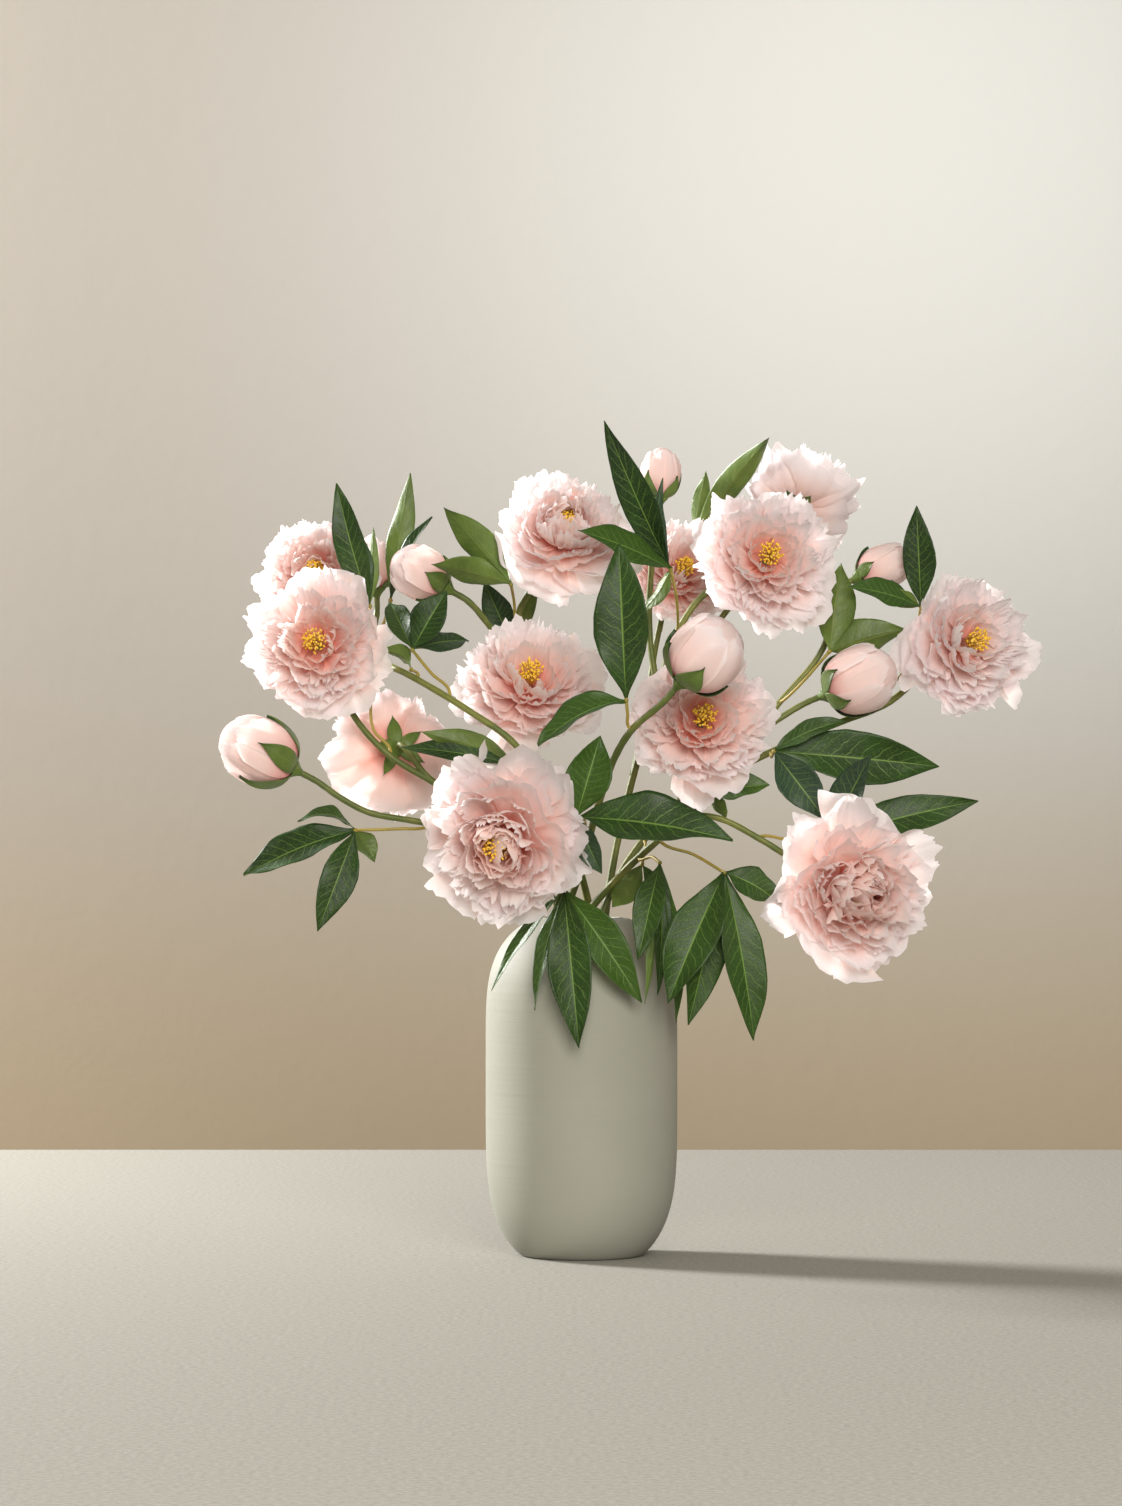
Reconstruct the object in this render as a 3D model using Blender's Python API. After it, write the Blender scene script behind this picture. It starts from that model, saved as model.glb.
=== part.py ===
"""Peony sprays in a rounded ceramic vase. Metres, +Z up, the vase base is centred on the origin.

Seven branching sprays stand in the vase, spiralling past each other through its mouth. They carry
twelve open blooms, seven buds and the compound leaves, each of them a closed solid of its own.
The layout below is in millimetres, with its heights measured up from the rim of the vase.
"""
import math

import bmesh
import bpy
from mathutils import Matrix, Vector

MM = 0.001

# ---- vase ----
VASE_HEIGHT = 247.0
VASE_RADIUS = 70.0
VASE_BASE_RADIUS = 43.0
VASE_WALL = 5.0
VASE_FLOOR = 6.0
MOUTH_RADIUS = 27.0
LIP_ROUND = 2.0
FOOT_RISE = 113.0
SHOULDER_DROP = 97.0
FOOT_BEND = 0.8
SHOULDER_BEND = 0.72
OUTLINE_STEPS = 5
OUTLINE_CROWDING = 1.6
VASE_SIDES = 32

# ---- stems ----
TRUNK_RADIUS = 2.8
BRANCH_RADIUS = 2.2
STEM_SIDES = 6
NECK_INSET = 10.0
NECK_DROP = 7.0
FOOT_INSET = 8.5
MID_SHARE = 0.6
SEAT_GAP = 0.3

# ---- flower heads ----
HEAD_SHARE = 0.5
CUP_HEIGHT = 7.0
CUP_BITE = 1.0
CUP_APPROACH = 12.0
CUP_RADIUS = 6.5
SEPAL_REACH = 13.0
BUD_CUP_WALL = 1.2
BUD_CUP_GAP = 0.5
BLOOM_SIDES = 16
BUD_SIDES = 12

# ---- leaves ----
PETIOLE_RADIUS = 1.1
LEAF_THICKNESS = 1.4
LEAF_ROOT_WIDTH = 2.6
LEAF_FOLD = 0.16
KNUCKLE_RADIUS = 2.2
PETIOLE_STUB = 2.5
LEAF_BITE = 1.5

# Layout points below the rim are drawn beside a vase of this radius and move out or in with it.
DRAWN_VASE_RADIUS = 70.0

# Open blooms: spray, middle of the head, direction it faces, radius.
BLOOMS = {
    "top_left": ("front_left", (-11, -60, 284), (0.15, -0.85, 0.5), 51),
    "top_right": ("back", (136, -40, 263), (0.1, -0.97, 0.2), 53),
    "back_right": ("back", (164, 60, 314), (0.2, 0.75, 0.6), 44),
    "far_right": ("right", (287, -10, 202), (0.42, -0.89, 0.15), 52),
    "far_left": ("left", (-192, -60, 200), (-0.1, -0.98, 0.15), 53),
    "left_back": ("left_back", (-197, 35, 255), (-0.1, -0.97, 0.2), 44),
    "middle_left": ("front_left", (-37, -60, 177), (0.05, -0.86, 0.5), 53),
    "middle_right": ("front_right", (87, -95, 145), (0.1, -0.97, 0.2), 54),
    "turned_away": ("left", (-141, 10, 121), (-0.25, 0.96, -0.1), 50),
    "low_front": ("front", (-60, -130, 54), (-0.2, -0.95, -0.25), 61),
    "low_right": ("front_right", (199, -85, 20), (0.3, -0.94, -0.05), 60),
    "top_middle": ("back", (76, 45, 257), (0.25, -0.9, 0.35), 43),
}

# Buds: spray, middle of the bud, direction of its tip, radius, length.
BUDS = {
    "middle": ("front", (87, -150, 190), (0.62, -0.25, 0.72), 26, 54),
    "right": ("right", (203, -20, 174), (0.9, -0.2, 0.4), 24, 54),
    "right_high": ("right", (224, 28, 258), (0.9, 0.1, 0.4), 16, 42),
    "left": ("front_left", (-118, -30, 251), (-0.85, 0.0, 0.5), 19, 44),
    "left_back": ("left_back", (-152, 68, 261), (0.0, 0.1, 1.0), 14, 36),
    "low_left": ("left", (-235, -30, 122), (-0.85, -0.1, 0.45), 24, 58),
    "top": ("back", (58, 12, 326), (0.05, 0.0, 1.0), 14, 36),
}

# Sprays: azimuth that the spray leans to, trunk points above the mouth, the head on the trunk,
# and branches as (index of the trunk point, further points, head).
SPRAYS = {
    "left_back": (150, [(-4, -10, 43), (-28, -70, 88), (-47, -95, 125), (-81, -88, 150),
                        (-119, -66, 173), (-150, -18, 189), (-172, 30, 209)], "bloom left_back",
                  [(5, [(-154, 48, 211)], "bud left_back")]),
    "left": (200, [(-24, 8, 28), (-58, -14, 61), (-100, -31, 94), (-140, -37, 119),
                   (-164, -30, 145)], "bloom far_left",
             [(1, [(-88, -22, 65), (-124, -24, 71), (-155, -26, 77), (-176, -26, 88)],
               "bud low_left"),
              (2, [(-112, -34, 103)], "bloom turned_away")]),
    "front_left": (250, [(-24, -10, 43), (-34, -22, 98), (-43, -8, 153), (-48, -6, 193),
                         (-44, -8, 227)], "bloom top_left",
                   [(1, [(-38, -28, 123)], "bloom middle_left"),
                    (3, [(-64, -18, 209)], "bud left")]),
    "front": (305, [(0, -36, 38), (12, -66, 83), (23, -100, 116), (36, -124, 137)], "bud middle",
              [(0, [(-20, -62, 61)], "bloom low_front")]),
    "back": (95, [(24, 10, 43), (38, 16, 103), (56, 10, 163), (70, -2, 208), (91, -4, 237)],
             "bloom top_right",
             [(1, [(48, 44, 153), (57, 74, 208)], "bloom top_middle"),
              (2, [(90, 16, 203), (126, 24, 250)], "bloom back_right"),
              (2, [(50, 16, 208), (52, 14, 263)], "bud top")]),
    "right": (45, [(32, -6, 38), (66, 0, 78), (108, 6, 105), (150, 6, 126), (188, 6, 142),
                   (225, 8, 157)], "bloom far_right",
              [(1, [(92, -8, 109), (118, -12, 127), (141, -13, 143)], "bud right"),
               (2, [(142, 14, 153), (178, 20, 198)], "bud right_high")]),
    "front_right": (-5, [(25, -30, 28), (54, -44, 56), (78, -54, 75), (89, -60, 98)],
                    "bloom middle_right",
                    [(2, [(98, -56, 73), (128, -58, 58), (152, -56, 43)], "bloom low_right")]),
}

# Leaves: spray, point beside the trunk where the petiole starts, its further points up to the
# hand that the leaflets spread from, and leaflets as (tip, width, way the upper side looks, arch).
LEAVES = {
    "top": ("back", (70, -2, 208), [(70, -20, 213), (68, -42, 235), (64, -52, 252)], [
        ((16, -90, 357), 27, (-0.3, -0.9, 0.0), 5),
        ((-3, -102, 278), 30, (0.0, -0.8, 0.5), 4),
        ((59, -20, 320), 13, (0.6, -0.7, 0.0), -9),
        ((43, -38, 221), 16, (0.3, 0.8, -0.5), 3)]),
    "middle": ("front", (35, -124, 136), [(32, -130, 147), (31, -133, 157)], [
        ((26, -138, 267), 42, (-0.1, -1.0, 0.1), 5),
        ((-31, -150, 124), 34, (-0.2, -0.6, 0.8), 8)]),
    "front_right": ("front", (4, -48, 57), [(2, -80, 71), (-4, -112, 74)], [
        ((13, -112, 132), 35, (0.0, -1.0, 0.1), 3),
        ((106, -140, 58), 46, (0.0, -0.85, 0.5), 7),
        ((14, -112, 34), 20, (-0.3, -0.9, 0.3), 3)]),
    "over_vase": ("front", (-4, -30, 26), [(-8, -50, 28), (-13, -67, 22)], [
        ((-2, -92, -91), 34, (0.0, -1.0, 0.2), 7),
        ((43, -80, -59), 31, (0.1, -1.0, 0.3), 6),
        ((-65, -66, -51), 13, (-0.6, -0.7, 0.3), 6),
        ((-34, -80, -64), 15, (-0.5, -0.8, 0.2), 5)]),
    "right_shoulder": ("front_right", (42, -38, 44), [(50, -50, 45), (56, -62, 41)], [
        ((40, -88, -28), 24, (0.0, -1.0, 0.2), 5),
        ((45, -74, -60), 11, (-0.5, 0.8, 0.0), -3),
        ((54, -64, -54), 15, (0.4, -0.9, 0.0), 6),
        ((68, -56, -75), 14, (0.7, -0.7, 0.0), 6)]),
    "right_low": ("front_right", (56, -45, 58), [(80, -62, 47), (102, -76, 34)], [
        ((61, -98, -59), 40, (-0.2, -1.0, 0.2), 6),
        ((76, -78, -75), 32, (0.1, -1.0, 0.1), 3),
        ((123, -80, -86), 34, (0.3, -0.9, 0.1), 6),
        ((142, -72, 11), 30, (0.2, -0.9, 0.5), 6)]),
    "under_middle": ("front_right", (84, -57, 86), [(92, -55, 90)], [
        ((135, -60, 97), 24, (0.1, -0.9, 0.5), 3),
        ((104, -46, 72), 13, (0.3, 0.8, 0.3), 2)]),
    "right_middle": ("right", (138, 6, 121), [(138, -18, 117), (139, -38, 121)], [
        ((191, -34, 143), 20, (-0.1, -0.7, 0.7), 5),
        ((260, -20, 110), 42, (0.0, -1.0, 0.3), 3),
        ((176, -50, 71), 31, (-0.1, -1.0, 0.2), 5)]),
    "low_right": ("front_right", (128, -58, 58), [(150, -46, 57), (176, -26, 56)], [
        ((207, -66, 118), 30, (-0.2, -1.0, 0.1), -2),
        ((288, -26, 85), 32, (0.0, -0.9, 0.5), 6)]),
    "right_high": ("right", (146, 15, 158), [(158, 2, 168), (181, -2, 194)], [
        ((190, 2, 259), 29, (0.1, 1.0, 0.1), 4),
        ((237, 8, 211), 32, (0.1, 1.0, 0.3), 4)]),
    "far_right": ("right", (225, 8, 157), [(238, 14, 183), (249, 12, 227)], [
        ((245, 2, 301), 26, (-0.1, -1.0, 0.1), 4),
        ((193, -14, 241), 26, (-0.2, -0.8, 0.6), 4),
        ((219, 9, 242), 16, (0.0, 0.9, 0.5), -3)]),
    "top_back": ("back", (57, 74, 211), [(64, 90, 235), (78, 92, 265), (84, 86, 285)], [
        ((138, 22, 352), 21, (0.1, 0.95, 0.3), 4),
        ((93, 80, 331), 15, (0.2, 0.95, 0.0), 3)]),
    "left_high": ("left", (-140, -37, 119), [(-151, -33, 137), (-152, -28, 173), (-154, -18, 227)], [
        ((-178, -22, 316), 26, (-0.3, -0.9, 0.1), 5),
        ((-170, -6, 293), 15, (0.5, -0.8, 0.1), 4),
        ((-152, -2, 285), 10, (0.2, 0.9, 0.0), 2)]),
    "left_back": ("left_back", (-156, 4, 197), [(-146, 12, 213), (-140, 14, 232)], [
        ((-126, 22, 326), 21, (0.0, 1.0, 0.1), 4),
        ((-109, 6, 293), 15, (-0.6, -0.6, 0.5), 6)]),
    "left_top": ("front_left", (-47, -7, 215), [(-49, -24, 229), (-51, -58, 241)], [
        ((-99, -72, 296), 26, (0.1, 0.95, 0.3), 5),
        ((-108, -70, 255), 24, (0.0, 0.9, 0.5), 5),
        ((-55, -38, 268), 11, (0.1, 0.9, 0.2), 2)]),
    "left_middle": ("left_back", (-96, -80, 159), [(-108, -72, 177), (-122, -62, 194)], [
        ((-97, -58, 237), 27, (0.1, -0.9, 0.3), 4),
        ((-82, -26, 201), 28, (0.1, -0.8, 0.6), 4),
        ((-140, -12, 230), 20, (-0.1, -0.9, 0.4), 4)]),
    "left_small": ("left_back", (-120, -65, 173), [(-123, -56, 180)], [
        ((-146, -44, 194), 18, (-0.4, 0.6, 0.7), 6)]),
    "left_olive": ("front_left", (-31, -19, 81), [(-36, -44, 98), (-46, -72, 111)], [
        ((-115, -66, 135), 21, (0.0, 0.9, 0.5), 4),
        ((-132, -54, 124), 18, (0.1, -0.8, 0.6), 4)]),
    "low_left": ("left", (-112, -23, 69), [(-132, -32, 65), (-164, -34, 64)], [
        ((-205, -44, 71), 20, (0.0, -0.4, 0.9), 9),
        ((-244, -46, 31), 36, (-0.1, -0.8, 0.6), 6),
        ((-191, -48, -9), 28, (0.2, -1.0, 0.2), 5),
        ((-150, -30, 41), 18, (0.1, 0.9, 0.2), 3)]),
    "behind_left": ("front_left", (-45, -7, 173), [(-50, 4, 183), (-52, 10, 203)], [
        ((-71, 2, 245), 24, (-0.1, -1.0, 0.1), 3),
        ((-32, 6, 240), 14, (0.1, 0.9, 0.2), 3)]),
    "mouth": ("right", (46, -4, 55), [(46, -14, 49), (44, -20, 39)], [
        ((22, -42, 9), 22, (0.2, 0.9, -0.1), 4),
        ((60, -26, 9), 12, (0.2, -0.9, 0.1), 3)]),
}


# ---- solids: each is a list of points in metres and a list of faces ----
def vec(point):
    """A layout point in metres above the vase's base, kept off the side of the vase."""
    x, y, height = point
    if height < 0:
        push = 1 + (VASE_RADIUS - DRAWN_VASE_RADIUS) / math.hypot(x, y)
        x, y = x * push, y * push
    return Vector((x, y, VASE_HEIGHT + height)) * MM


def lathe(profile, sides, lobes=0, lobe_depth=0.0):
    """Solid of revolution about Z from (radius, height, lobe share) points that start and end on it."""
    points = [Vector((0, 0, profile[0][1]))]
    faces = []
    rings = profile[1:-1]
    for radius, height, share in rings:
        for step in range(sides):
            turn = 2 * math.pi * step / sides
            reach = radius * (1 + lobe_depth * share * math.cos(lobes * turn))
            points.append(Vector((reach * math.cos(turn), reach * math.sin(turn), height)))
    points.append(Vector((0, 0, profile[-1][1])))
    last = len(points) - 1
    for step in range(sides):
        after = (step + 1) % sides
        faces.append((0, 1 + after, 1 + step))
        for ring in range(len(rings) - 1):
            low, high = 1 + ring * sides, 1 + (ring + 1) * sides
            faces.append((low + step, low + after, high + after, high + step))
        top = 1 + (len(rings) - 1) * sides
        faces.append((top + step, top + after, last))
    return points, faces


def smooth_path(points, steps):
    """Points along a smooth curve through the given ones, which never overshoots a bend."""
    count = len(points)
    legs = [points[i + 1] - points[i] for i in range(count - 1)]
    tangents = [legs[0].normalized()]
    for i in range(1, count - 1):
        tangents.append((legs[i - 1].normalized() + legs[i].normalized()).normalized())
    tangents.append(legs[-1].normalized())
    path = [points[0].copy()]
    for i, leg in enumerate(legs):
        for step in range(1, steps + 1):
            t = step / steps
            start = tangents[i] * leg.length
            end = tangents[i + 1] * leg.length
            path.append(points[i] * (2 * t ** 3 - 3 * t ** 2 + 1) + start * (t ** 3 - 2 * t ** 2 + t)
                        + points[i + 1] * (3 * t ** 2 - 2 * t ** 3) + end * (t ** 3 - t ** 2))
    return path


def tube(path, radius, end_radius, sides):
    """Closed tube along a path, tapering evenly, with flat ends."""
    points, faces = [], []
    side = (path[1] - path[0]).orthogonal().normalized()
    for i, centre in enumerate(path):
        ahead = path[min(i + 1, len(path) - 1)] - path[max(i - 1, 0)]
        ahead.normalize()
        side = (side - ahead * side.dot(ahead)).normalized()
        across = ahead.cross(side)
        reach = radius + (end_radius - radius) * i / (len(path) - 1)
        for step in range(sides):
            turn = 2 * math.pi * step / sides
            points.append(centre + (side * math.cos(turn) + across * math.sin(turn)) * reach)
    for i in range(len(path) - 1):
        for step in range(sides):
            after = (step + 1) % sides
            low, high = i * sides, (i + 1) * sides
            faces.append((low + step, low + after, high + after, high + step))
    faces.append(tuple(reversed(range(sides))))
    faces.append(tuple(range(len(points) - sides, len(points))))
    return points, faces


def facing_matrix(base, facing):
    """Places a solid made about +Z so that it stands on base and faces the given way."""
    turn = Vector(facing).normalized().to_track_quat("Z", "Y").to_matrix().to_4x4()
    return Matrix.Translation(base) @ turn


def placed(solid, matrix):
    """The solid moved by a matrix."""
    points, faces = solid
    return [matrix @ point for point in points], faces


# ---- objects ----
def make_material(name, colour, roughness):
    """Principled material of one plain colour."""
    material = bpy.data.materials.new(name)
    material.use_nodes = True
    shader = material.node_tree.nodes["Principled BSDF"]
    shader.inputs["Base Color"].default_value = (*colour, 1.0)
    shader.inputs["Roughness"].default_value = roughness
    shader.inputs["Metallic"].default_value = 0.0
    material.diffuse_color = (*colour, 1.0)
    return material


def make_object(name, solid, material):
    """Object of one closed, outward-facing solid."""
    points, faces = solid
    mesh = bpy.data.meshes.new(name)
    mesh.from_pydata([tuple(point) for point in points], [], faces)
    work = bmesh.new()
    work.from_mesh(mesh)
    bmesh.ops.recalc_face_normals(work, faces=work.faces)
    work.to_mesh(mesh)
    work.free()
    mesh.materials.append(material)
    obj = bpy.data.objects.new(name, mesh)
    bpy.context.scene.collection.objects.link(obj)
    return obj


def make_fused(name, solids, material):
    """Object of several overlapping solids fused into one."""
    obj = make_object(name, solids[0], material)
    others = bpy.data.collections.new(f"{name}_parts")
    for solid in solids[1:]:
        other = make_object(f"{name}_part", solid, material)
        bpy.context.scene.collection.objects.unlink(other)
        others.objects.link(other)
    fuse = obj.modifiers.new("fuse", "BOOLEAN")
    fuse.operation = "UNION"
    fuse.operand_type = "COLLECTION"
    fuse.collection = others
    bpy.context.view_layer.update()
    shown = obj.evaluated_get(bpy.context.evaluated_depsgraph_get())
    fused = bpy.data.meshes.new_from_object(shown)
    obj.modifiers.clear()
    obj.data = fused
    fused.name = name
    for other in list(others.objects):
        bpy.data.objects.remove(other)
    bpy.data.collections.remove(others)
    return obj


# ---- vase ----
def swell(share, bend):
    """Rounded rise from 0 to 1, steep at first."""
    return (1 - (1 - share) ** 4) ** bend


def vase_outline():
    """Outside of the vase from the edge of its base to the lip, as (radius, height)."""
    lip_radius = MOUTH_RADIUS + 2 * LIP_ROUND
    outline = []
    for i in range(OUTLINE_STEPS + 1):
        share = (i / OUTLINE_STEPS) ** OUTLINE_CROWDING
        grow = (VASE_RADIUS - VASE_BASE_RADIUS) * swell(share, FOOT_BEND)
        outline.append((VASE_BASE_RADIUS + grow, FOOT_RISE * share))
    for i in range(OUTLINE_STEPS, -1, -1):
        share = (i / OUTLINE_STEPS) ** OUTLINE_CROWDING
        grow = (VASE_RADIUS - lip_radius) * swell(share, SHOULDER_BEND)
        outline.append((lip_radius + grow, VASE_HEIGHT - SHOULDER_DROP * share))
    return outline


def vase_lining(outline):
    """Inside of the vase from under its mouth to the edge of its floor, one wall in from outside."""
    lining = []
    for i in range(1, len(outline) - 1):
        along = Vector(outline[i + 1]) - Vector(outline[i - 1])
        inward = Vector((-along.y, along.x)).normalized()
        radius, height = Vector(outline[i]) + inward * VASE_WALL
        if radius > MOUTH_RADIUS + 1 and height > VASE_FLOOR + 1:
            lining.append((radius, height))
    return list(reversed(lining))


def floor_radius(lining):
    """Radius of the flat floor inside the vase."""
    return lining[-1][0] - LIP_ROUND


def make_vase():
    """Thick-walled vase, open at the mouth, flat underneath."""
    outline = vase_outline()
    lining = vase_lining(outline)
    lip = []
    for degrees in (60, 90, 120, 180):
        turn = math.radians(degrees)
        centre = MOUTH_RADIUS + LIP_ROUND
        drop = VASE_HEIGHT - LIP_ROUND
        lip.append((centre + LIP_ROUND * math.cos(turn), drop + LIP_ROUND * math.sin(turn)))
    mouth_end = [(MOUTH_RADIUS, VASE_HEIGHT - VASE_WALL)]
    rings = outline[:-1] + lip + mouth_end + lining + [(floor_radius(lining), VASE_FLOOR)]
    profile = [(0, 0)] + rings + [(0, VASE_FLOOR)]
    solid = lathe([(radius * MM, height * MM, 0) for radius, height in profile], VASE_SIDES)
    make_object("vase", solid, make_material("vase_glaze", (0.69, 0.68, 0.59), 0.6))


# ---- flower heads ----
def bloom_profile(radius):
    """Open bloom from the seat on its cup, round the petals and down into the middle."""
    shares = [(0.0, 0.0, 0), (0.12, 0.0, 0), (0.45, 0.06, 0), (0.78, 0.2, 0.5), (1.0, 0.42, 1.0),
              (0.96, 0.58, 1.0), (0.78, 0.76, 0.6), (0.52, 0.88, 0.3), (0.3, 0.84, 0), (0.2, 0.5, 0),
              (0.0, 0.48, 0)]
    return [(radius * out, radius * up, lobe) for out, up, lobe in shares]


def stamen_profile(radius):
    """Tuft of stamens that stands in the middle of a bloom."""
    low = 0.5 * radius + SEAT_GAP * MM
    return [(0, low, 0), (0.12 * radius, low, 0), (0.14 * radius, 0.62 * radius, 0),
            (0.17 * radius, 0.72 * radius, 1), (0.1 * radius, 0.78 * radius, 0),
            (0, 0.74 * radius, 0)]


def bud_profile(radius, length):
    """Egg-shaped closed bud from its seat to its tip."""
    shares = [(0.0, 0.0), (0.25, 0.0), (0.7, 0.12), (0.96, 0.32), (1.0, 0.5), (0.88, 0.72),
              (0.55, 0.91), (0.0, 1.0)]
    return [(radius * out, length * up, 0) for out, up in shares]


def bloom_cup():
    """Lobed green cup under an open bloom, with its top just clear of the petals."""
    top = -SEAT_GAP
    profile = [(0, -CUP_HEIGHT, 0), (BRANCH_RADIUS, -CUP_HEIGHT, 0), (CUP_RADIUS, -3.2, 0),
               (SEPAL_REACH, top - 1.3, 1), (SEPAL_REACH, top - 0.5, 1), (CUP_RADIUS, top, 0),
               (0, top, 0)]
    return lathe([(r * MM, z * MM, lobe) for r, z, lobe in profile], 10, 5, 0.25)


def bud_cup(radius, length):
    """Green cup that hugs the lower part of a bud, one gap away from it."""
    inner = BUD_CUP_GAP
    outer = inner + BUD_CUP_WALL
    out, up = 0.25 * radius, 0.12 * length
    wide = 0.7 * radius
    slope = Vector((wide - out, up)).normalized()
    away = Vector((slope.y, -slope.x))
    profile = [(0, -CUP_HEIGHT), (BRANCH_RADIUS, -CUP_HEIGHT), (out + 1.0, -inner - 2.5),
               (wide + away.x * outer, up + away.y * outer),
               (wide + away.x * inner, up + away.y * inner),
               (out + away.x * inner, -SEAT_GAP), (0, -SEAT_GAP)]
    return lathe([(r * MM, z * MM, 0) for r, z in profile], 10)


def bloom_base(middle, facing, radius):
    """Where the seat of a bloom is."""
    return vec(middle) - Vector(facing).normalized() * HEAD_SHARE * radius * MM


def bud_base(middle, facing, length):
    """Where the seat of a bud is."""
    return vec(middle) - Vector(facing).normalized() * HEAD_SHARE * length * MM


def make_blooms():
    """Every open bloom and the tuft of stamens in its middle."""
    for name, (_, middle, facing, radius) in BLOOMS.items():
        place = facing_matrix(bloom_base(middle, facing, radius), facing)
        petals = placed(lathe(bloom_profile(radius * MM), BLOOM_SIDES, 5, 0.06), place)
        tuft = placed(lathe(stamen_profile(radius * MM), 8, 4, 0.12), place)
        make_object(f"bloom_{name}", petals,
                    make_material(f"petals_{name}", (0.93, 0.74, 0.7), 0.65))
        make_object(f"stamens_{name}", tuft,
                    make_material(f"stamens_{name}", (0.9, 0.55, 0.08), 0.7))


def make_buds():
    """Every closed bud."""
    for name, (_, middle, facing, radius, length) in BUDS.items():
        place = facing_matrix(bud_base(middle, facing, length), facing)
        bud = placed(lathe(bud_profile(radius * MM, length * MM), BUD_SIDES), place)
        make_object(f"bud_{name}", bud, make_material(f"bud_{name}", (0.9, 0.72, 0.68), 0.6))


# ---- stems ----
def head_of(label):
    """Seat, direction and cup solid of the head that a branch carries."""
    kind, name = label.split()
    if kind == "bloom":
        _, middle, facing, radius = BLOOMS[name]
        return bloom_base(middle, facing, radius), Vector(facing).normalized(), bloom_cup()
    _, middle, facing, radius, length = BUDS[name]
    return bud_base(middle, facing, length), Vector(facing).normalized(), bud_cup(radius, length)


def stem_foot(azimuth):
    """The spray's points inside the vase: its end on the floor, half way up, and in the mouth."""
    lean = Vector((math.cos(azimuth), math.sin(azimuth), 0))
    aside = Vector((math.sin(azimuth), -math.cos(azimuth), 0))
    neck_radius = MOUTH_RADIUS - NECK_INSET
    foot_radius = floor_radius(vase_lining(vase_outline())) - FOOT_INSET
    spread = math.sqrt(foot_radius ** 2 - neck_radius ** 2)
    tilt = math.atan2(spread, VASE_HEIGHT)
    foot = (aside * neck_radius - lean * spread) * MM
    neck = aside * neck_radius * MM
    foot.z = (VASE_FLOOR + SEAT_GAP + TRUNK_RADIUS * math.sin(tilt)) * MM
    neck.z = (VASE_HEIGHT - NECK_DROP) * MM
    return [foot, foot.lerp(neck, MID_SHARE), neck]


def head_approach(label):
    """Last points of a branch: straight into the cup of its head."""
    base, facing, _ = head_of(label)
    return [base - facing * (CUP_HEIGHT + CUP_APPROACH) * MM,
            base - facing * (CUP_HEIGHT - CUP_BITE) * MM]


def spray_paths(spray):
    """Smoothed paths of a spray's trunk and branches."""
    azimuth, points, head, branches = SPRAYS[spray]
    trunk = stem_foot(math.radians(azimuth)) + [vec(p) for p in points] + head_approach(head)
    paths = [smooth_path(trunk, 2)]
    for index, further, label in branches:
        start = vec(points[index])
        branch = [start] + [vec(p) for p in further] + head_approach(label)
        paths.append(smooth_path(branch, 2))
    return paths


def make_stems():
    """Every spray's stem, branches and cups, fused."""
    for spray, (_, _, head, branches) in SPRAYS.items():
        solids = []
        for i, path in enumerate(spray_paths(spray)):
            radius = TRUNK_RADIUS if i == 0 else BRANCH_RADIUS
            solids.append(tube(path, radius * MM, BRANCH_RADIUS * MM, STEM_SIDES))
        for label in [head] + [branch[2] for branch in branches]:
            base, facing, cup = head_of(label)
            solids.append(placed(cup, facing_matrix(base, facing)))
        make_fused(f"stem_{spray}", solids, make_material(f"stem_{spray}", (0.22, 0.24, 0.07), 0.6))


# ---- leaves ----
def petiole_path(spray, beside, further):
    """Path of a leaf's stalk, which starts one gap off the side of its spray's nearest stem."""
    beside, onward = vec(beside), vec(further[0])
    nearest, along, reach = None, None, None
    for i, path in enumerate(spray_paths(spray)):
        radius = TRUNK_RADIUS if i == 0 else BRANCH_RADIUS
        for j, (a, b) in enumerate(zip(path, path[1:])):
            leg = b - a
            share = min(max((beside - a).dot(leg) / leg.dot(leg), 0), 1)
            spot = a + leg * share
            if nearest is None or (spot - beside).length < (nearest - beside).length:
                nearest, along = spot, leg.normalized()
                taper = (j + share) / (len(path) - 1)
                reach = radius + (BRANCH_RADIUS - radius) * taper
    away = onward - nearest
    away = (away - along * away.dot(along)).normalized()
    start = nearest + away * (reach + SEAT_GAP) * MM
    return [start, start + away * PETIOLE_STUB * MM] + [vec(p) for p in further]


def leaflet(hand, tip, width, face, arch):
    """Thin pointed blade, folded a little along its midrib, from the hand of the leaf to a tip."""
    shape = [(0.0, 0.0), (0.18, 0.55), (0.42, 1.0), (0.66, 0.84), (0.86, 0.42)]
    along = (tip - hand).normalized()
    side = along.cross(Vector(face)).normalized()
    up = side.cross(along)
    hand = hand - along * LEAF_BITE * MM
    middle = (hand + tip) / 2 + up * arch * 2 * MM
    points, faces = [], []
    for t, share in shape:
        spot = hand * (1 - t) ** 2 + middle * 2 * t * (1 - t) + tip * t ** 2
        half = max(width * share, LEAF_ROOT_WIDTH) / 2 * MM
        thick = LEAF_THICKNESS / 2 * MM * (1 - 0.4 * t)
        lift = up * half * LEAF_FOLD * 2
        points += [spot + side * half + lift, spot + up * thick,
                   spot - side * half + lift, spot - up * thick]
    points.append(tip)
    last = len(points) - 1
    for ring in range(len(shape) - 1):
        for step in range(4):
            low, high, after = 4 * ring, 4 * ring + 4, (step + 1) % 4
            faces.append((low + step, low + after, high + after, high + step))
    for step in range(4):
        faces.append((last - 4 + step, last - 4 + (step + 1) % 4, last))
    faces.append((3, 2, 1, 0))
    return points, faces


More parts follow.
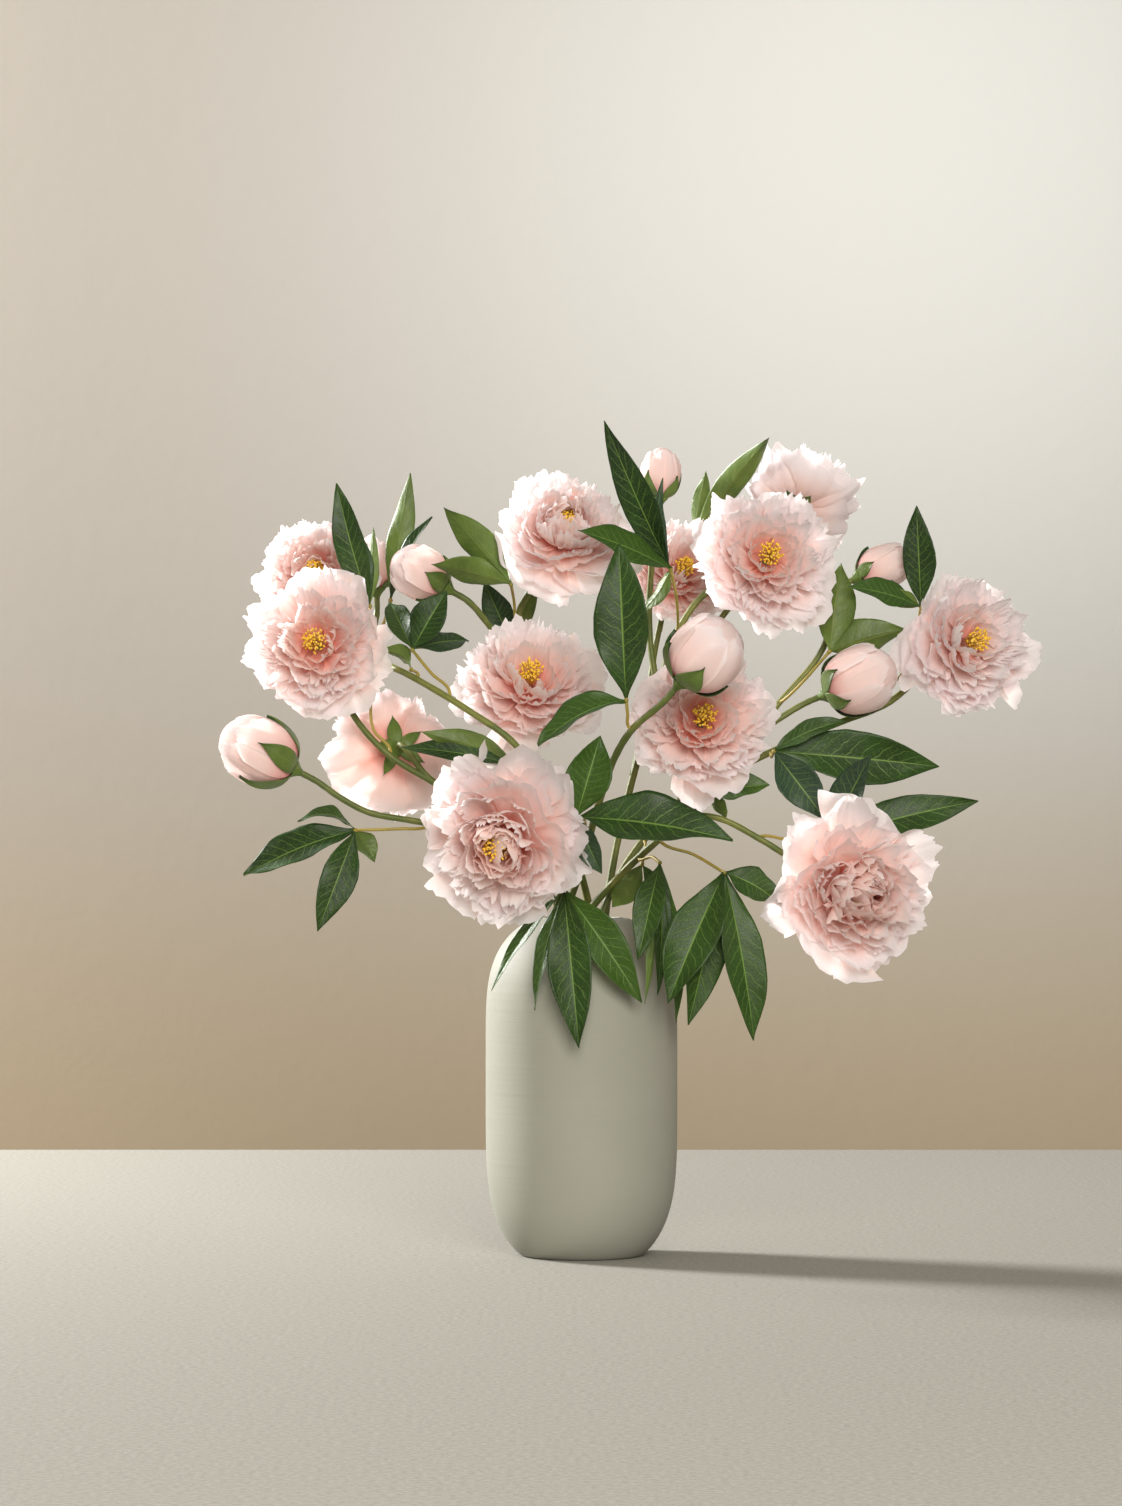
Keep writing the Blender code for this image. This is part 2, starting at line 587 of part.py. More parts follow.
def knuckle(hand):
    """Small swelling where the leaflets and the stalk of a leaf meet."""
    bulge = 0.7 * KNUCKLE_RADIUS
    profile = [(0, -KNUCKLE_RADIUS), (bulge, -bulge), (KNUCKLE_RADIUS, 0), (bulge, bulge),
               (0, KNUCKLE_RADIUS)]
    solid = lathe([(r * MM, z * MM, 0) for r, z in profile], 7)
    return placed(solid, Matrix.Translation(hand))


def make_leaves():
    """Every compound leaf: stalk, knuckle and leaflets, fused."""
    green = (0.05, 0.13, 0.05)
    for name, (spray, beside, further, blades) in LEAVES.items():
        hand = vec(further[-1])
        path = smooth_path(petiole_path(spray, beside, further), 2)
        path.append(path[-1] + (path[-1] - path[-2]).normalized() * MM)
        solids = [tube(path, PETIOLE_RADIUS * MM, PETIOLE_RADIUS * MM, 5), knuckle(hand)]
        for tip, width, face, arch in blades:
            solids.append(leaflet(hand, vec(tip), width, face, arch))
        make_fused(f"leaf_{name}", solids, make_material(f"leaf_{name}", green, 0.5))


def main():
    """Build the filled vase."""
    for obj in list(bpy.data.objects):
        bpy.data.objects.remove(obj)
    make_vase()
    make_stems()
    make_blooms()
    make_buds()
    make_leaves()


main()
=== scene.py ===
"""Looks of the peony bouquet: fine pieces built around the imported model. Metres, +Z up.

Every flower head, bud, leaf and stem is rebuilt where its CAD solid is, from the same layout,
which is in millimetres with heights measured up from the rim of the vase.
"""
import math
import random

import bpy
import numpy as np
from mathutils import Matrix, Vector


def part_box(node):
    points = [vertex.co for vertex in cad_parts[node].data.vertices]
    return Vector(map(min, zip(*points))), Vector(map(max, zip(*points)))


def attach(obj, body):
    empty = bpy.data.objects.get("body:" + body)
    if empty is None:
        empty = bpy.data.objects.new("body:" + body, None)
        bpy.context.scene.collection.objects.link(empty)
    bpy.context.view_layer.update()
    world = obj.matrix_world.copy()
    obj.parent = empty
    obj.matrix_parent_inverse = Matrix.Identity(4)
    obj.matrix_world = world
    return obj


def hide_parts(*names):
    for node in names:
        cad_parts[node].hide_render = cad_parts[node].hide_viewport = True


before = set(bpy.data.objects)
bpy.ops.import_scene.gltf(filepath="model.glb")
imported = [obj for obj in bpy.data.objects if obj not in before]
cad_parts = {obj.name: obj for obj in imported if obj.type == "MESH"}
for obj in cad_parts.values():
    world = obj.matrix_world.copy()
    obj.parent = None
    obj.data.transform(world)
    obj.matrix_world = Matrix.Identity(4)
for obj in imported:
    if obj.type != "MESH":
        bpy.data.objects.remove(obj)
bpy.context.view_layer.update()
MM = 0.001
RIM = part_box("vase")[1].z / MM
ANY_TURN = 6.28        # a random angle is drawn from 0 to this
GOLDEN_TURN = 2.39996  # each thread or wrap stands this much further round than the last

# Sizes shared with the CAD model.
VASE_BASE_RADIUS = 43.0
VASE_MOUTH_RADIUS = 27.0
VASE_LIP_RADIUS = 2.0
VASE_WALL = 5.0
VASE_FLOOR = 6.0
VASE_LOWER_BEND = 113.0  # height over which the vase widens from its base
VASE_UPPER_BEND = 97.0   # height over which it narrows to its mouth
TRUNK_RADIUS = 2.8
BRANCH_RADIUS = 2.2
STEM_NECK_RADIUS = 17.0  # from the vase's axis to where a stem passes the mouth
STEM_NECK_DEPTH = 7.0

# Sizes of the looks alone.
PETIOLE_RADIUS = 1.5
STEM_FOOT_RADIUS = 38.0  # from the vase's axis to where a stem stands
STEM_FOOT_HEIGHT = 6.8

# Open blooms: middle of the head, direction it faces, radius.
BLOOMS = {
    "top_left": ((-11, -60, 284), (0.15, -0.85, 0.5), 51),
    "top_right": ((136, -40, 263), (0.1, -0.97, 0.2), 53),
    "back_right": ((164, 60, 314), (0.2, 0.75, 0.6), 44),
    "far_right": ((287, -10, 202), (0.42, -0.89, 0.15), 52),
    "far_left": ((-192, -60, 200), (-0.1, -0.98, 0.15), 53),
    "left_back": ((-197, 35, 255), (-0.1, -0.97, 0.2), 44),
    "middle_left": ((-37, -60, 177), (0.05, -0.86, 0.5), 53),
    "middle_right": ((87, -95, 145), (0.1, -0.97, 0.2), 54),
    "turned_away": ((-141, 10, 121), (-0.25, 0.96, -0.1), 50),
    "low_front": ((-60, -130, 54), (-0.2, -0.95, -0.25), 61),
    "low_right": ((199, -85, 20), (0.3, -0.94, -0.05), 60),
    "top_middle": ((76, 45, 257), (0.25, -0.9, 0.35), 43),
}

# Buds: middle of the bud, direction of its tip, radius, length.
BUDS = {
    "middle": ((87, -150, 190), (0.62, -0.25, 0.72), 26, 54),
    "right": ((203, -20, 174), (0.9, -0.2, 0.4), 24, 54),
    "right_high": ((224, 28, 258), (0.9, 0.1, 0.4), 16, 42),
    "left": ((-118, -30, 251), (-0.85, 0, 0.5), 19, 44),
    "left_back": ((-152, 68, 261), (0, 0.1, 1.0), 14, 36),
    "low_left": ((-235, -30, 122), (-0.85, -0.1, 0.45), 24, 58),
    "top": ((58, 12, 326), (0.05, 0, 1.0), 14, 36),
}

# Sprays: azimuth that the spray leans to, trunk points above the mouth, the head on the trunk,
# and branches as (index of the trunk point, further points, head).
SPRAYS = {
    "left_back": (150, [(-4, -10, 43), (-28, -70, 88), (-47, -95, 125), (-81, -88, 150),
        (-119, -66, 173), (-150, -18, 189), (-172, 30, 209)], "bloom left_back",
        [(5, [(-154, 48, 211)], "bud left_back")]),
    "left": (200, [(-24, 8, 28), (-58, -14, 61), (-100, -31, 94), (-140, -37, 119),
        (-164, -30, 145)], "bloom far_left",
        [(1, [(-88, -22, 65), (-124, -24, 71), (-155, -26, 77), (-176, -26, 88)],
        "bud low_left"),
        (2, [(-112, -34, 103)], "bloom turned_away")]),
    "front_left": (250, [(-24, -10, 43), (-34, -22, 98), (-43, -8, 153), (-48, -6, 193),
        (-44, -8, 227)], "bloom top_left",
        [(1, [(-38, -28, 123)], "bloom middle_left"),
        (3, [(-64, -18, 209)], "bud left")]),
    "front": (305, [(0, -36, 38), (12, -66, 83), (23, -100, 116), (36, -124, 137)], "bud middle",
        [(0, [(-20, -62, 61)], "bloom low_front")]),
    "back": (95, [(24, 10, 43), (38, 16, 103), (56, 10, 163), (70, -2, 208), (91, -4, 237)],
        "bloom top_right",
        [(1, [(48, 44, 153), (57, 74, 208)], "bloom top_middle"),
        (2, [(90, 16, 203), (126, 24, 250)], "bloom back_right"),
        (2, [(50, 16, 208), (52, 14, 263)], "bud top")]),
    "right": (45, [(32, -6, 38), (66, 0, 78), (108, 6, 105), (150, 6, 126), (188, 6, 142),
        (225, 8, 157)], "bloom far_right",
        [(1, [(92, -8, 109), (118, -12, 127), (141, -13, 143)], "bud right"),
        (2, [(142, 14, 153), (178, 20, 198)], "bud right_high")]),
    "front_right": (-5, [(25, -30, 28), (54, -44, 56), (78, -54, 75), (89, -60, 98)],
        "bloom middle_right",
        [(2, [(98, -56, 73), (128, -58, 58), (152, -56, 43)], "bloom low_right")]),
}

# Leaves: spray, point beside the trunk where the petiole starts, its further points up to the
# hand that the leaflets spread from, and leaflets as (tip, width, way the upper side looks, arch).
LEAVES = {
    "top": ("back", (70, -2, 208), [(70, -20, 213), (68, -42, 235), (64, -52, 252)], [
        ((16, -90, 357), 27, (-0.3, -0.9, 0), 5),
        ((-3, -102, 278), 30, (0, -0.8, 0.5), 4),
        ((59, -20, 320), 13, (0.6, -0.7, 0), -9),
        ((43, -38, 221), 16, (0.3, 0.8, -0.5), 3)]),
    "middle": ("front", (35, -124, 136), [(32, -130, 147), (31, -133, 157)], [
        ((26, -138, 267), 42, (-0.1, -1.0, 0.1), 5),
        ((-31, -150, 124), 34, (-0.2, -0.6, 0.8), 8)]),
    "front_right": ("front", (4, -48, 57), [(2, -80, 71), (-4, -112, 74)], [
        ((13, -112, 132), 35, (0, -1.0, 0.1), 3),
        ((106, -140, 58), 46, (0, -0.85, 0.5), 7),
        ((14, -112, 34), 20, (-0.3, -0.9, 0.3), 3)]),
    "over_vase": ("front", (-4, -30, 26), [(-8, -50, 28), (-13, -67, 22)], [
        ((-2, -92, -91), 34, (0, -1.0, 0.2), 7),
        ((43, -80, -59), 31, (0.1, -1.0, 0.3), 6),
        ((-65, -66, -51), 13, (-0.6, -0.7, 0.3), 6),
        ((-34, -80, -64), 15, (-0.5, -0.8, 0.2), 5)]),
    "right_shoulder": ("front_right", (42, -38, 44), [(50, -50, 45), (56, -62, 41)], [
        ((40, -88, -28), 24, (0, -1.0, 0.2), 5),
        ((45, -74, -60), 11, (-0.5, 0.8, 0), -3),
        ((54, -64, -54), 15, (0.4, -0.9, 0), 6),
        ((68, -56, -75), 14, (0.7, -0.7, 0), 6)]),
    "right_low": ("front_right", (56, -45, 58), [(80, -62, 47), (102, -76, 34)], [
        ((61, -98, -59), 40, (-0.2, -1.0, 0.2), 6),
        ((76, -78, -75), 32, (0.1, -1.0, 0.1), 3),
        ((123, -80, -86), 34, (0.3, -0.9, 0.1), 6),
        ((142, -72, 11), 30, (0.2, -0.9, 0.5), 6)]),
    "under_middle": ("front_right", (84, -57, 86), [(92, -55, 90)], [
        ((135, -60, 97), 24, (0.1, -0.9, 0.5), 3),
        ((104, -46, 72), 13, (0.3, 0.8, 0.3), 2)]),
    "right_middle": ("right", (138, 6, 121), [(138, -18, 117), (139, -38, 121)], [
        ((191, -34, 143), 20, (-0.1, -0.7, 0.7), 5),
        ((260, -20, 110), 42, (0, -1.0, 0.3), 3),
        ((176, -50, 71), 31, (-0.1, -1.0, 0.2), 5)]),
    "low_right": ("front_right", (128, -58, 58), [(150, -46, 57), (176, -26, 56)], [
        ((207, -66, 118), 30, (-0.2, -1.0, 0.1), -2),
        ((288, -26, 85), 32, (0, -0.9, 0.5), 6)]),
    "right_high": ("right", (146, 15, 158), [(158, 2, 168), (181, -2, 194)], [
        ((190, 2, 259), 29, (0.1, 1.0, 0.1), 4),
        ((237, 8, 211), 32, (0.1, 1.0, 0.3), 4)]),
    "far_right": ("right", (225, 8, 157), [(238, 14, 183), (249, 12, 227)], [
        ((245, 2, 301), 26, (-0.1, -1.0, 0.1), 4),
        ((193, -14, 241), 26, (-0.2, -0.8, 0.6), 4),
        ((219, 9, 242), 16, (0, 0.9, 0.5), -3)]),
    "top_back": ("back", (57, 74, 211), [(64, 90, 235), (78, 92, 265), (84, 86, 285)], [
        ((138, 22, 352), 21, (0.1, 0.95, 0.3), 4),
        ((93, 80, 331), 15, (0.2, 0.95, 0), 3)]),
    "left_high": ("left", (-140, -37, 119),
                  [(-151, -33, 137), (-152, -28, 173), (-154, -18, 227)], [
        ((-178, -22, 316), 26, (-0.3, -0.9, 0.1), 5),
        ((-170, -6, 293), 15, (0.5, -0.8, 0.1), 4),
        ((-152, -2, 285), 10, (0.2, 0.9, 0), 2)]),
    "left_back": ("left_back", (-156, 4, 197), [(-146, 12, 213), (-140, 14, 232)], [
        ((-126, 22, 326), 21, (0, 1.0, 0.1), 4),
        ((-109, 6, 293), 15, (-0.6, -0.6, 0.5), 6)]),
    "left_top": ("front_left", (-47, -7, 215), [(-49, -24, 229), (-51, -58, 241)], [
        ((-99, -72, 296), 26, (0.1, 0.95, 0.3), 5),
        ((-108, -70, 255), 24, (0, 0.9, 0.5), 5),
        ((-55, -38, 268), 11, (0.1, 0.9, 0.2), 2)]),
    "left_middle": ("left_back", (-96, -80, 159), [(-108, -72, 177), (-122, -62, 194)], [
        ((-97, -58, 237), 27, (0.1, -0.9, 0.3), 4),
        ((-82, -26, 201), 28, (0.1, -0.8, 0.6), 4),
        ((-140, -12, 230), 20, (-0.1, -0.9, 0.4), 4)]),
    "left_small": ("left_back", (-120, -65, 173), [(-123, -56, 180)], [
        ((-146, -44, 194), 18, (-0.4, 0.6, 0.7), 6)]),
    "left_olive": ("front_left", (-31, -19, 81), [(-36, -44, 98), (-46, -72, 111)], [
        ((-115, -66, 135), 21, (0, 0.9, 0.5), 4),
        ((-132, -54, 124), 18, (0.1, -0.8, 0.6), 4)]),
    "low_left": ("left", (-112, -23, 69), [(-132, -32, 65), (-164, -34, 64)], [
        ((-205, -44, 71), 20, (0, -0.4, 0.9), 9),
        ((-244, -46, 31), 36, (-0.1, -0.8, 0.6), 6),
        ((-191, -48, -9), 28, (0.2, -1.0, 0.2), 5),
        ((-150, -30, 41), 18, (0.1, 0.9, 0.2), 3)]),
    "behind_left": ("front_left", (-45, -7, 173), [(-50, 4, 183), (-52, 10, 203)], [
        ((-71, 2, 245), 24, (-0.1, -1.0, 0.1), 3),
        ((-32, 6, 240), 14, (0.1, 0.9, 0.2), 3)]),
    "mouth": ("right", (46, -4, 55), [(46, -14, 49), (44, -20, 39)], [
        ((22, -42, 9), 22, (0.2, 0.9, -0.1), 4),
        ((60, -26, 9), 12, (0.2, -0.9, 0.1), 3)]),
}

# Outer petals that stand apart from a bloom's whorls: angle seen from the front (0 right, 90 up),
# (reach, height) of the tip as shares of the bloom's radius, width share, whiteness.
LONE_PETALS = {
    "top_right": [(165, (1.12, 0.62), 0.75, 1.0), (128, (1.05, 0.6), 0.6, 0.9)],
    "far_right": [(188, (1.12, 0.5), 0.5, 1.0), (215, (1.14, 0.45), 0.5, 1.0),
                  (245, (1.12, 0.4), 0.55, 1.0)],
    "middle_left": [(262, (1.5, 0.05), 0.5, 0.7)],
    "middle_right": [(262, (1.2, 0.1), 0.6, 0.6)],
    "low_front": [(84, (1.2, 0.5), 0.85, 1.0), (118, (1.15, 0.5), 0.6, 1.0),
                  (38, (1.12, 0.4), 0.7, 0.9), (8, (1.1, 0.35), 0.6, 0.9)],
    "low_right": [(92, (1.2, 0.4), 0.6, 1.0), (145, (1.18, 0.4), 0.7, 0.9),
                  (35, (1.15, 0.4), 0.7, 0.8), (200, (1.22, 0.3), 0.75, 0.9)],
}

# How far a bloom's middle has opened, where it isn't 1: 0 is closed up, 1 shows all its stamens.
OPENNESS = {"low_right": 0.0, "low_front": 0.5, "top_left": 0.25, "left_back": 0.8}

# How much whiter than the others a bloom's petals are.
PALENESS = {"top_right": 0.3, "far_right": 0.45, "back_right": 0.6, "top_left": 0.25,
            "low_front": 0.1, "middle_left": 0.1}

# How much further up the outer petals of the blooms that turn their backs cup, as a share of the
# radius.
CUPPING = {"turned_away": 0.3, "back_right": 0.22}

# Whorls of an open bloom: petal count, then root, knee and tip as (reach, height) shares of the
# radius, width, cupping, depth of the teeth along the edge, and whiteness.
WHORLS = [
    (5, (0.05, 0.02), (0.74, -0.1), (1.04, 0.22), 1.15, 0.2, 0.05, 0.95),
    (6, (0.05, 0.05), (0.74, -0.04), (1.0, 0.38), 0.95, 0.22, 0.09, 0.9),
    (8, (0.06, 0.08), (0.72, 0.04), (0.97, 0.5), 0.72, 0.25, 0.14, 0.8),
    (9, (0.06, 0.11), (0.68, 0.1), (0.9, 0.63), 0.62, 0.28, 0.18, 0.7),
    (9, (0.06, 0.14), (0.64, 0.18), (0.78, 0.73), 0.56, 0.32, 0.2, 0.55),
    (9, (0.07, 0.18), (0.58, 0.26), (0.63, 0.81), 0.5, 0.36, 0.2, 0.4),
    (8, (0.08, 0.22), (0.5, 0.32), (0.48, 0.86), 0.45, 0.4, 0.18, 0.3),
    (6, (0.09, 0.26), (0.4, 0.36), (0.33, 0.85), 0.4, 0.4, 0.16, 0.15),
]


def vec(point):
    """A layout point in metres."""
    x, y, height = point
    return np.array((x, y, RIM + height)) * MM


# ---- pieces ----
def add_object(name, data):
    """A new object in the scene."""
    obj = bpy.data.objects.new(name, data)
    bpy.context.scene.collection.objects.link(obj)
    return obj


def cell_corners(values):
    """The values at the four corners of each cell of a grid, in order round it."""
    return values[:-1, :-1], values[:-1, 1:], values[1:, 1:], values[1:, :-1]


class Piece:
    """Points, faces, pattern values and map of one piece, gathered grid by grid."""

    def __init__(self):
        self.points, self.pattern, self.tone = [], [], []
        self.faces, self.corners, self.slots, self.cells = [], [], [], []
        self.count = 0

    def grid(self, points, pattern, tone=0.5, slot=0, close=False, cap=False):
        """Adds a grid of points (rows, columns, 3); close joins its last column to its first."""
        rows, columns = points.shape[:2]
        index = np.arange(rows * columns).reshape(rows, columns) + self.count
        u, v = np.meshgrid(np.linspace(0.03, 0.97, columns + close),
                           np.linspace(0.03, 0.97, rows))
        if close:
            index = np.hstack([index, index[:, :1]])
        quads = np.stack(cell_corners(index), -1).reshape(-1, 4)
        spots = np.stack(cell_corners(np.stack([u, v], -1)), -2).reshape(-1, 2)
        self.faces += quads.tolist()
        self.corners.append(spots)
        self.cells.append(len(spots))
        self.slots += [slot] * len(quads)
        if cap:
            for ring, height in ((index[0, :columns][::-1], 0.01), (index[-1, :columns], 0.99)):
                self.faces.append(ring.tolist())
                turn = np.linspace(0.01, 0.99, columns)
                self.corners.append(np.stack([turn, np.full(columns, height)], -1))
                self.cells[-1] += columns
                self.slots.append(slot)
        self.points.append(points.reshape(-1, 3))
        self.pattern.append(np.broadcast_to(pattern, points.shape).reshape(-1, 3))
        self.tone.append(np.broadcast_to(tone, (rows, columns)).reshape(-1))
        self.count += rows * columns

    def blade(self, sides, t, s, upper, tone):
        """Adds a closed blade from its two sides' grids; upper says which side is printed."""
        points = np.concatenate([sides[0], sides[1][:, ::-1]], 1)
        pattern = np.zeros(points.shape)
        pattern[..., 0] = t
        pattern[..., 1] = np.concatenate([s, s[:, ::-1]], 1)
        printed = slice(s.shape[1], None) if upper else slice(s.shape[1])
        pattern[:, printed, 2] = 1.0
        self.grid(points, pattern, tone, 1, close=True, cap=True)

    def make(self, name, materials, node):
        """Makes the finished object, which stands for the given CAD node."""
        mesh = bpy.data.meshes.new(name)
        mesh.from_pydata(np.concatenate(self.points).tolist(), [], self.faces)
        for material in materials:
            mesh.materials.append(material)
        mesh.polygons.foreach_set("material_index", self.slots)
        mesh.polygons.foreach_set("use_smooth", [True] * len(self.faces))
        for key, kind, field, parts in (("pattern", "FLOAT_VECTOR", "vector", self.pattern),
                                        ("tone", "FLOAT", "value", self.tone)):
            data = np.concatenate(parts).ravel().astype(np.float32)
            mesh.attributes.new(key, kind, "POINT").data.foreach_set(field, data)
        across = math.ceil(math.sqrt(len(self.cells)))
        cell = np.repeat(np.arange(len(self.cells)), self.cells)
        spots = (np.concatenate(self.corners) + np.stack([cell % across, cell // across], -1))
        layer = mesh.uv_layers.new(name="OFBake")
        layer.data.foreach_set("uv", (spots / across).ravel().astype(np.float32))
        mesh.update()
        obj = add_object(name, mesh)
        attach(obj, "root")
        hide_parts(node)


def smooth_path(points, steps):
    """Points along a smooth curve through the given ones, which never overshoots a bend."""
    points = [Vector(p) for p in points]
    legs = [b - a for a, b in zip(points, points[1:])]
    tangents = [legs[0].normalized()]
    for before, after in zip(legs, legs[1:]):
        tangents.append((before.normalized() + after.normalized()).normalized())
    tangents.append(legs[-1].normalized())
    path = [points[0].copy()]
    for i, leg in enumerate(legs):
        for step in range(1, steps + 1):
            t = step / steps
            path.append(points[i] * (2 * t ** 3 - 3 * t ** 2 + 1)
                        + tangents[i] * leg.length * (t ** 3 - 2 * t ** 2 + t)
                        + points[i + 1] * (3 * t ** 2 - 2 * t ** 3)
                        + tangents[i + 1] * leg.length * (t ** 3 - t ** 2))
    return path


def tube(piece, path, radii, sides, ribs=0, rib_depth=0.0, tone=0.5, slot=0):
    """Adds a closed tube along a path, one radius for each point, with ribs along it."""
    side = (path[1] - path[0]).orthogonal().normalized()
    turns = np.linspace(0, 2 * math.pi, sides, endpoint=False)
    share = 1 + rib_depth * (np.abs(np.cos(turns * ribs / 2)) - 0.6) if ribs else np.ones(sides)
    rings, lengths = [], [0.0]
    for i, centre in enumerate(path):
        ahead = (path[min(i + 1, len(path) - 1)] - path[max(i - 1, 0)]).normalized()
        side = (side - ahead * side.dot(ahead)).normalized()
        across = ahead.cross(side)
        ring = (np.outer(np.cos(turns), side) + np.outer(np.sin(turns), across))
        rings.append(np.array(centre) + ring * (share * radii[i])[:, None])
        lengths.append(lengths[-1] + (path[min(i + 1, len(path) - 1)] - centre).length)
    pattern = np.zeros((len(path), sides, 3))
    pattern[..., 0] = np.array(lengths[:-1])[:, None]
    pattern[..., 1] = share
    piece.grid(np.array(rings), pattern, tone, slot, close=True, cap=True)


def facing_matrix(base, facing):
    """Places something made about +Z so that it stands on base and faces the given way."""
    turn = Vector(facing).normalized().to_track_quat("Z", "Y").to_matrix().to_4x4()
    return Matrix.Translation(Vector(base)) @ turn


def moved(points, matrix):
    """An array of points moved by a matrix."""
    m = np.array(matrix)
    return points @ m[:3, :3].T + m[:3, 3]


def turned(along, aside, up, turn):
    """Points given by reach, sideways offset and height, turned about +Z."""
    c, d = math.cos(turn), math.sin(turn)
    return np.stack([along * c - aside * d, along * d + aside * c, up], -1)


def lathe(reach, height, sides):
    """A grid of points round +Z from a profile's reach and height."""
    turns = np.linspace(0, 2 * math.pi, sides, endpoint=False)
    return np.stack([np.outer(reach, np.cos(turns)), np.outer(reach, np.sin(turns)),
                     np.repeat(height[:, None], sides, 1)], -1)


def arc(t, start, knee, end):
    """Points and slopes at shares t of a curve from start to end that bends towards knee."""
    t = t[..., None]
    start, knee, end = (np.array(p, float) for p in (start, knee, end))
    points = (1 - t) ** 2 * start + 2 * t * (1 - t) * knee + t ** 2 * end
    return points, 2 * (1 - t) * (knee - start) + 2 * t * (end - knee)


def head_base(middle, facing, size):
    """Where the seat of a bloom or a bud is, half its size behind its middle."""
    return vec(middle) - np.array(Vector(facing).normalized()) * 0.5 * size * MM


# ---- blooms ----
# Rows of a petal's grid, as shares of its length, closer together towards the rim.
PETAL_ROWS = np.array((0.0, 0.16, 0.32, 0.46, 0.58, 0.69, 0.79, 0.87, 0.94, 1.0))
PETAL_COLUMNS = 29
TUFT_THREADS = 60
CROSSING_PETALS = 11  # in the middle of a bloom that is fully closed up
# The grain at the end of a stamen, as (distance beyond the thread, radius).
GRAIN_RINGS = ((-0.2, 0.25), (0.3, 0.6), (1.0, 0.8), (1.8, 0.75), (2.5, 0.5), (2.9, 0.15))


def petal_reach(rng, s, teeth, corners, phase):
    """How far each column of a petal goes: rounded corners, teeth, a dent and soft scallops."""
    tooth_bias, dent_width = 1.6, 0.12
    jag = np.array([rng.random() ** tooth_bias for _ in s]) * teeth * 1.3
    notch = rng.uniform(-0.6, 0.6)
    scallop = 0.03 * np.sin(6 * s + phase[0]) + 0.02 * np.sin(12 * s + phase[1])
    dent = (0.05 + teeth) * np.exp(-((s - notch) / dent_width) ** 2)
    return 1 - corners * np.abs(s) ** 2.4 - jag - dent + scallop


def petal(rng, root, knee, tip, width, cup, teeth, turn, wave=0.06, corners=0.3):
    """A petal as a grid of points about +Z, with the pattern values that colour it.

    Its middle line runs from root to tip and bends towards knee; t goes along it, s across it.
    """
    s = np.linspace(-1, 1, PETAL_COLUMNS)
    phase = [rng.uniform(0, ANY_TURN) for _ in range(6)]
    t = PETAL_ROWS[:, None] * petal_reach(rng, s, teeth, corners, phase)[None, :]
    line, slope = arc(t, root, knee, tip)
    slope /= np.linalg.norm(slope, axis=-1, keepdims=True)
    claw, widest = 0.16, 0.64
    half = 0.5 * width * (claw + 0.84 * np.sin(math.pi * np.clip(t * widest, 0, 1)) ** 1.1)
    x = half * s
    # How far each point stands off the line: cup, wave, pleats, crinkles, curled end and tilt.
    lift = cup * width * s ** 2 * t ** 0.7 * 1.3
    lift += wave * width * t ** 1.5 * np.sin(4.5 * s + phase[2]) * (0.3 + np.abs(s))
    lift += 0.011 * width * t * np.sin(14 * s + phase[3] + 2 * t)
    lift += 0.004 * t ** 2 * np.sin(27 * s + phase[4])
    lift += rng.uniform(-0.09, 0.05) * t ** 4 + rng.uniform(-0.3, 0.3) * x * t
    lean = rng.uniform(-0.22, 0.22)
    r = line[..., 0] - slope[..., 1] * lift
    z = line[..., 1] + slope[..., 0] * lift
    x = x + lean * t * width
    points = turned(r, x, z, turn + rng.uniform(-0.26, 0.26))
    pattern = np.stack([t, np.broadcast_to(s, t.shape),
                        np.broadcast_to(PETAL_ROWS[:, None], t.shape)], -1)
    return points, pattern


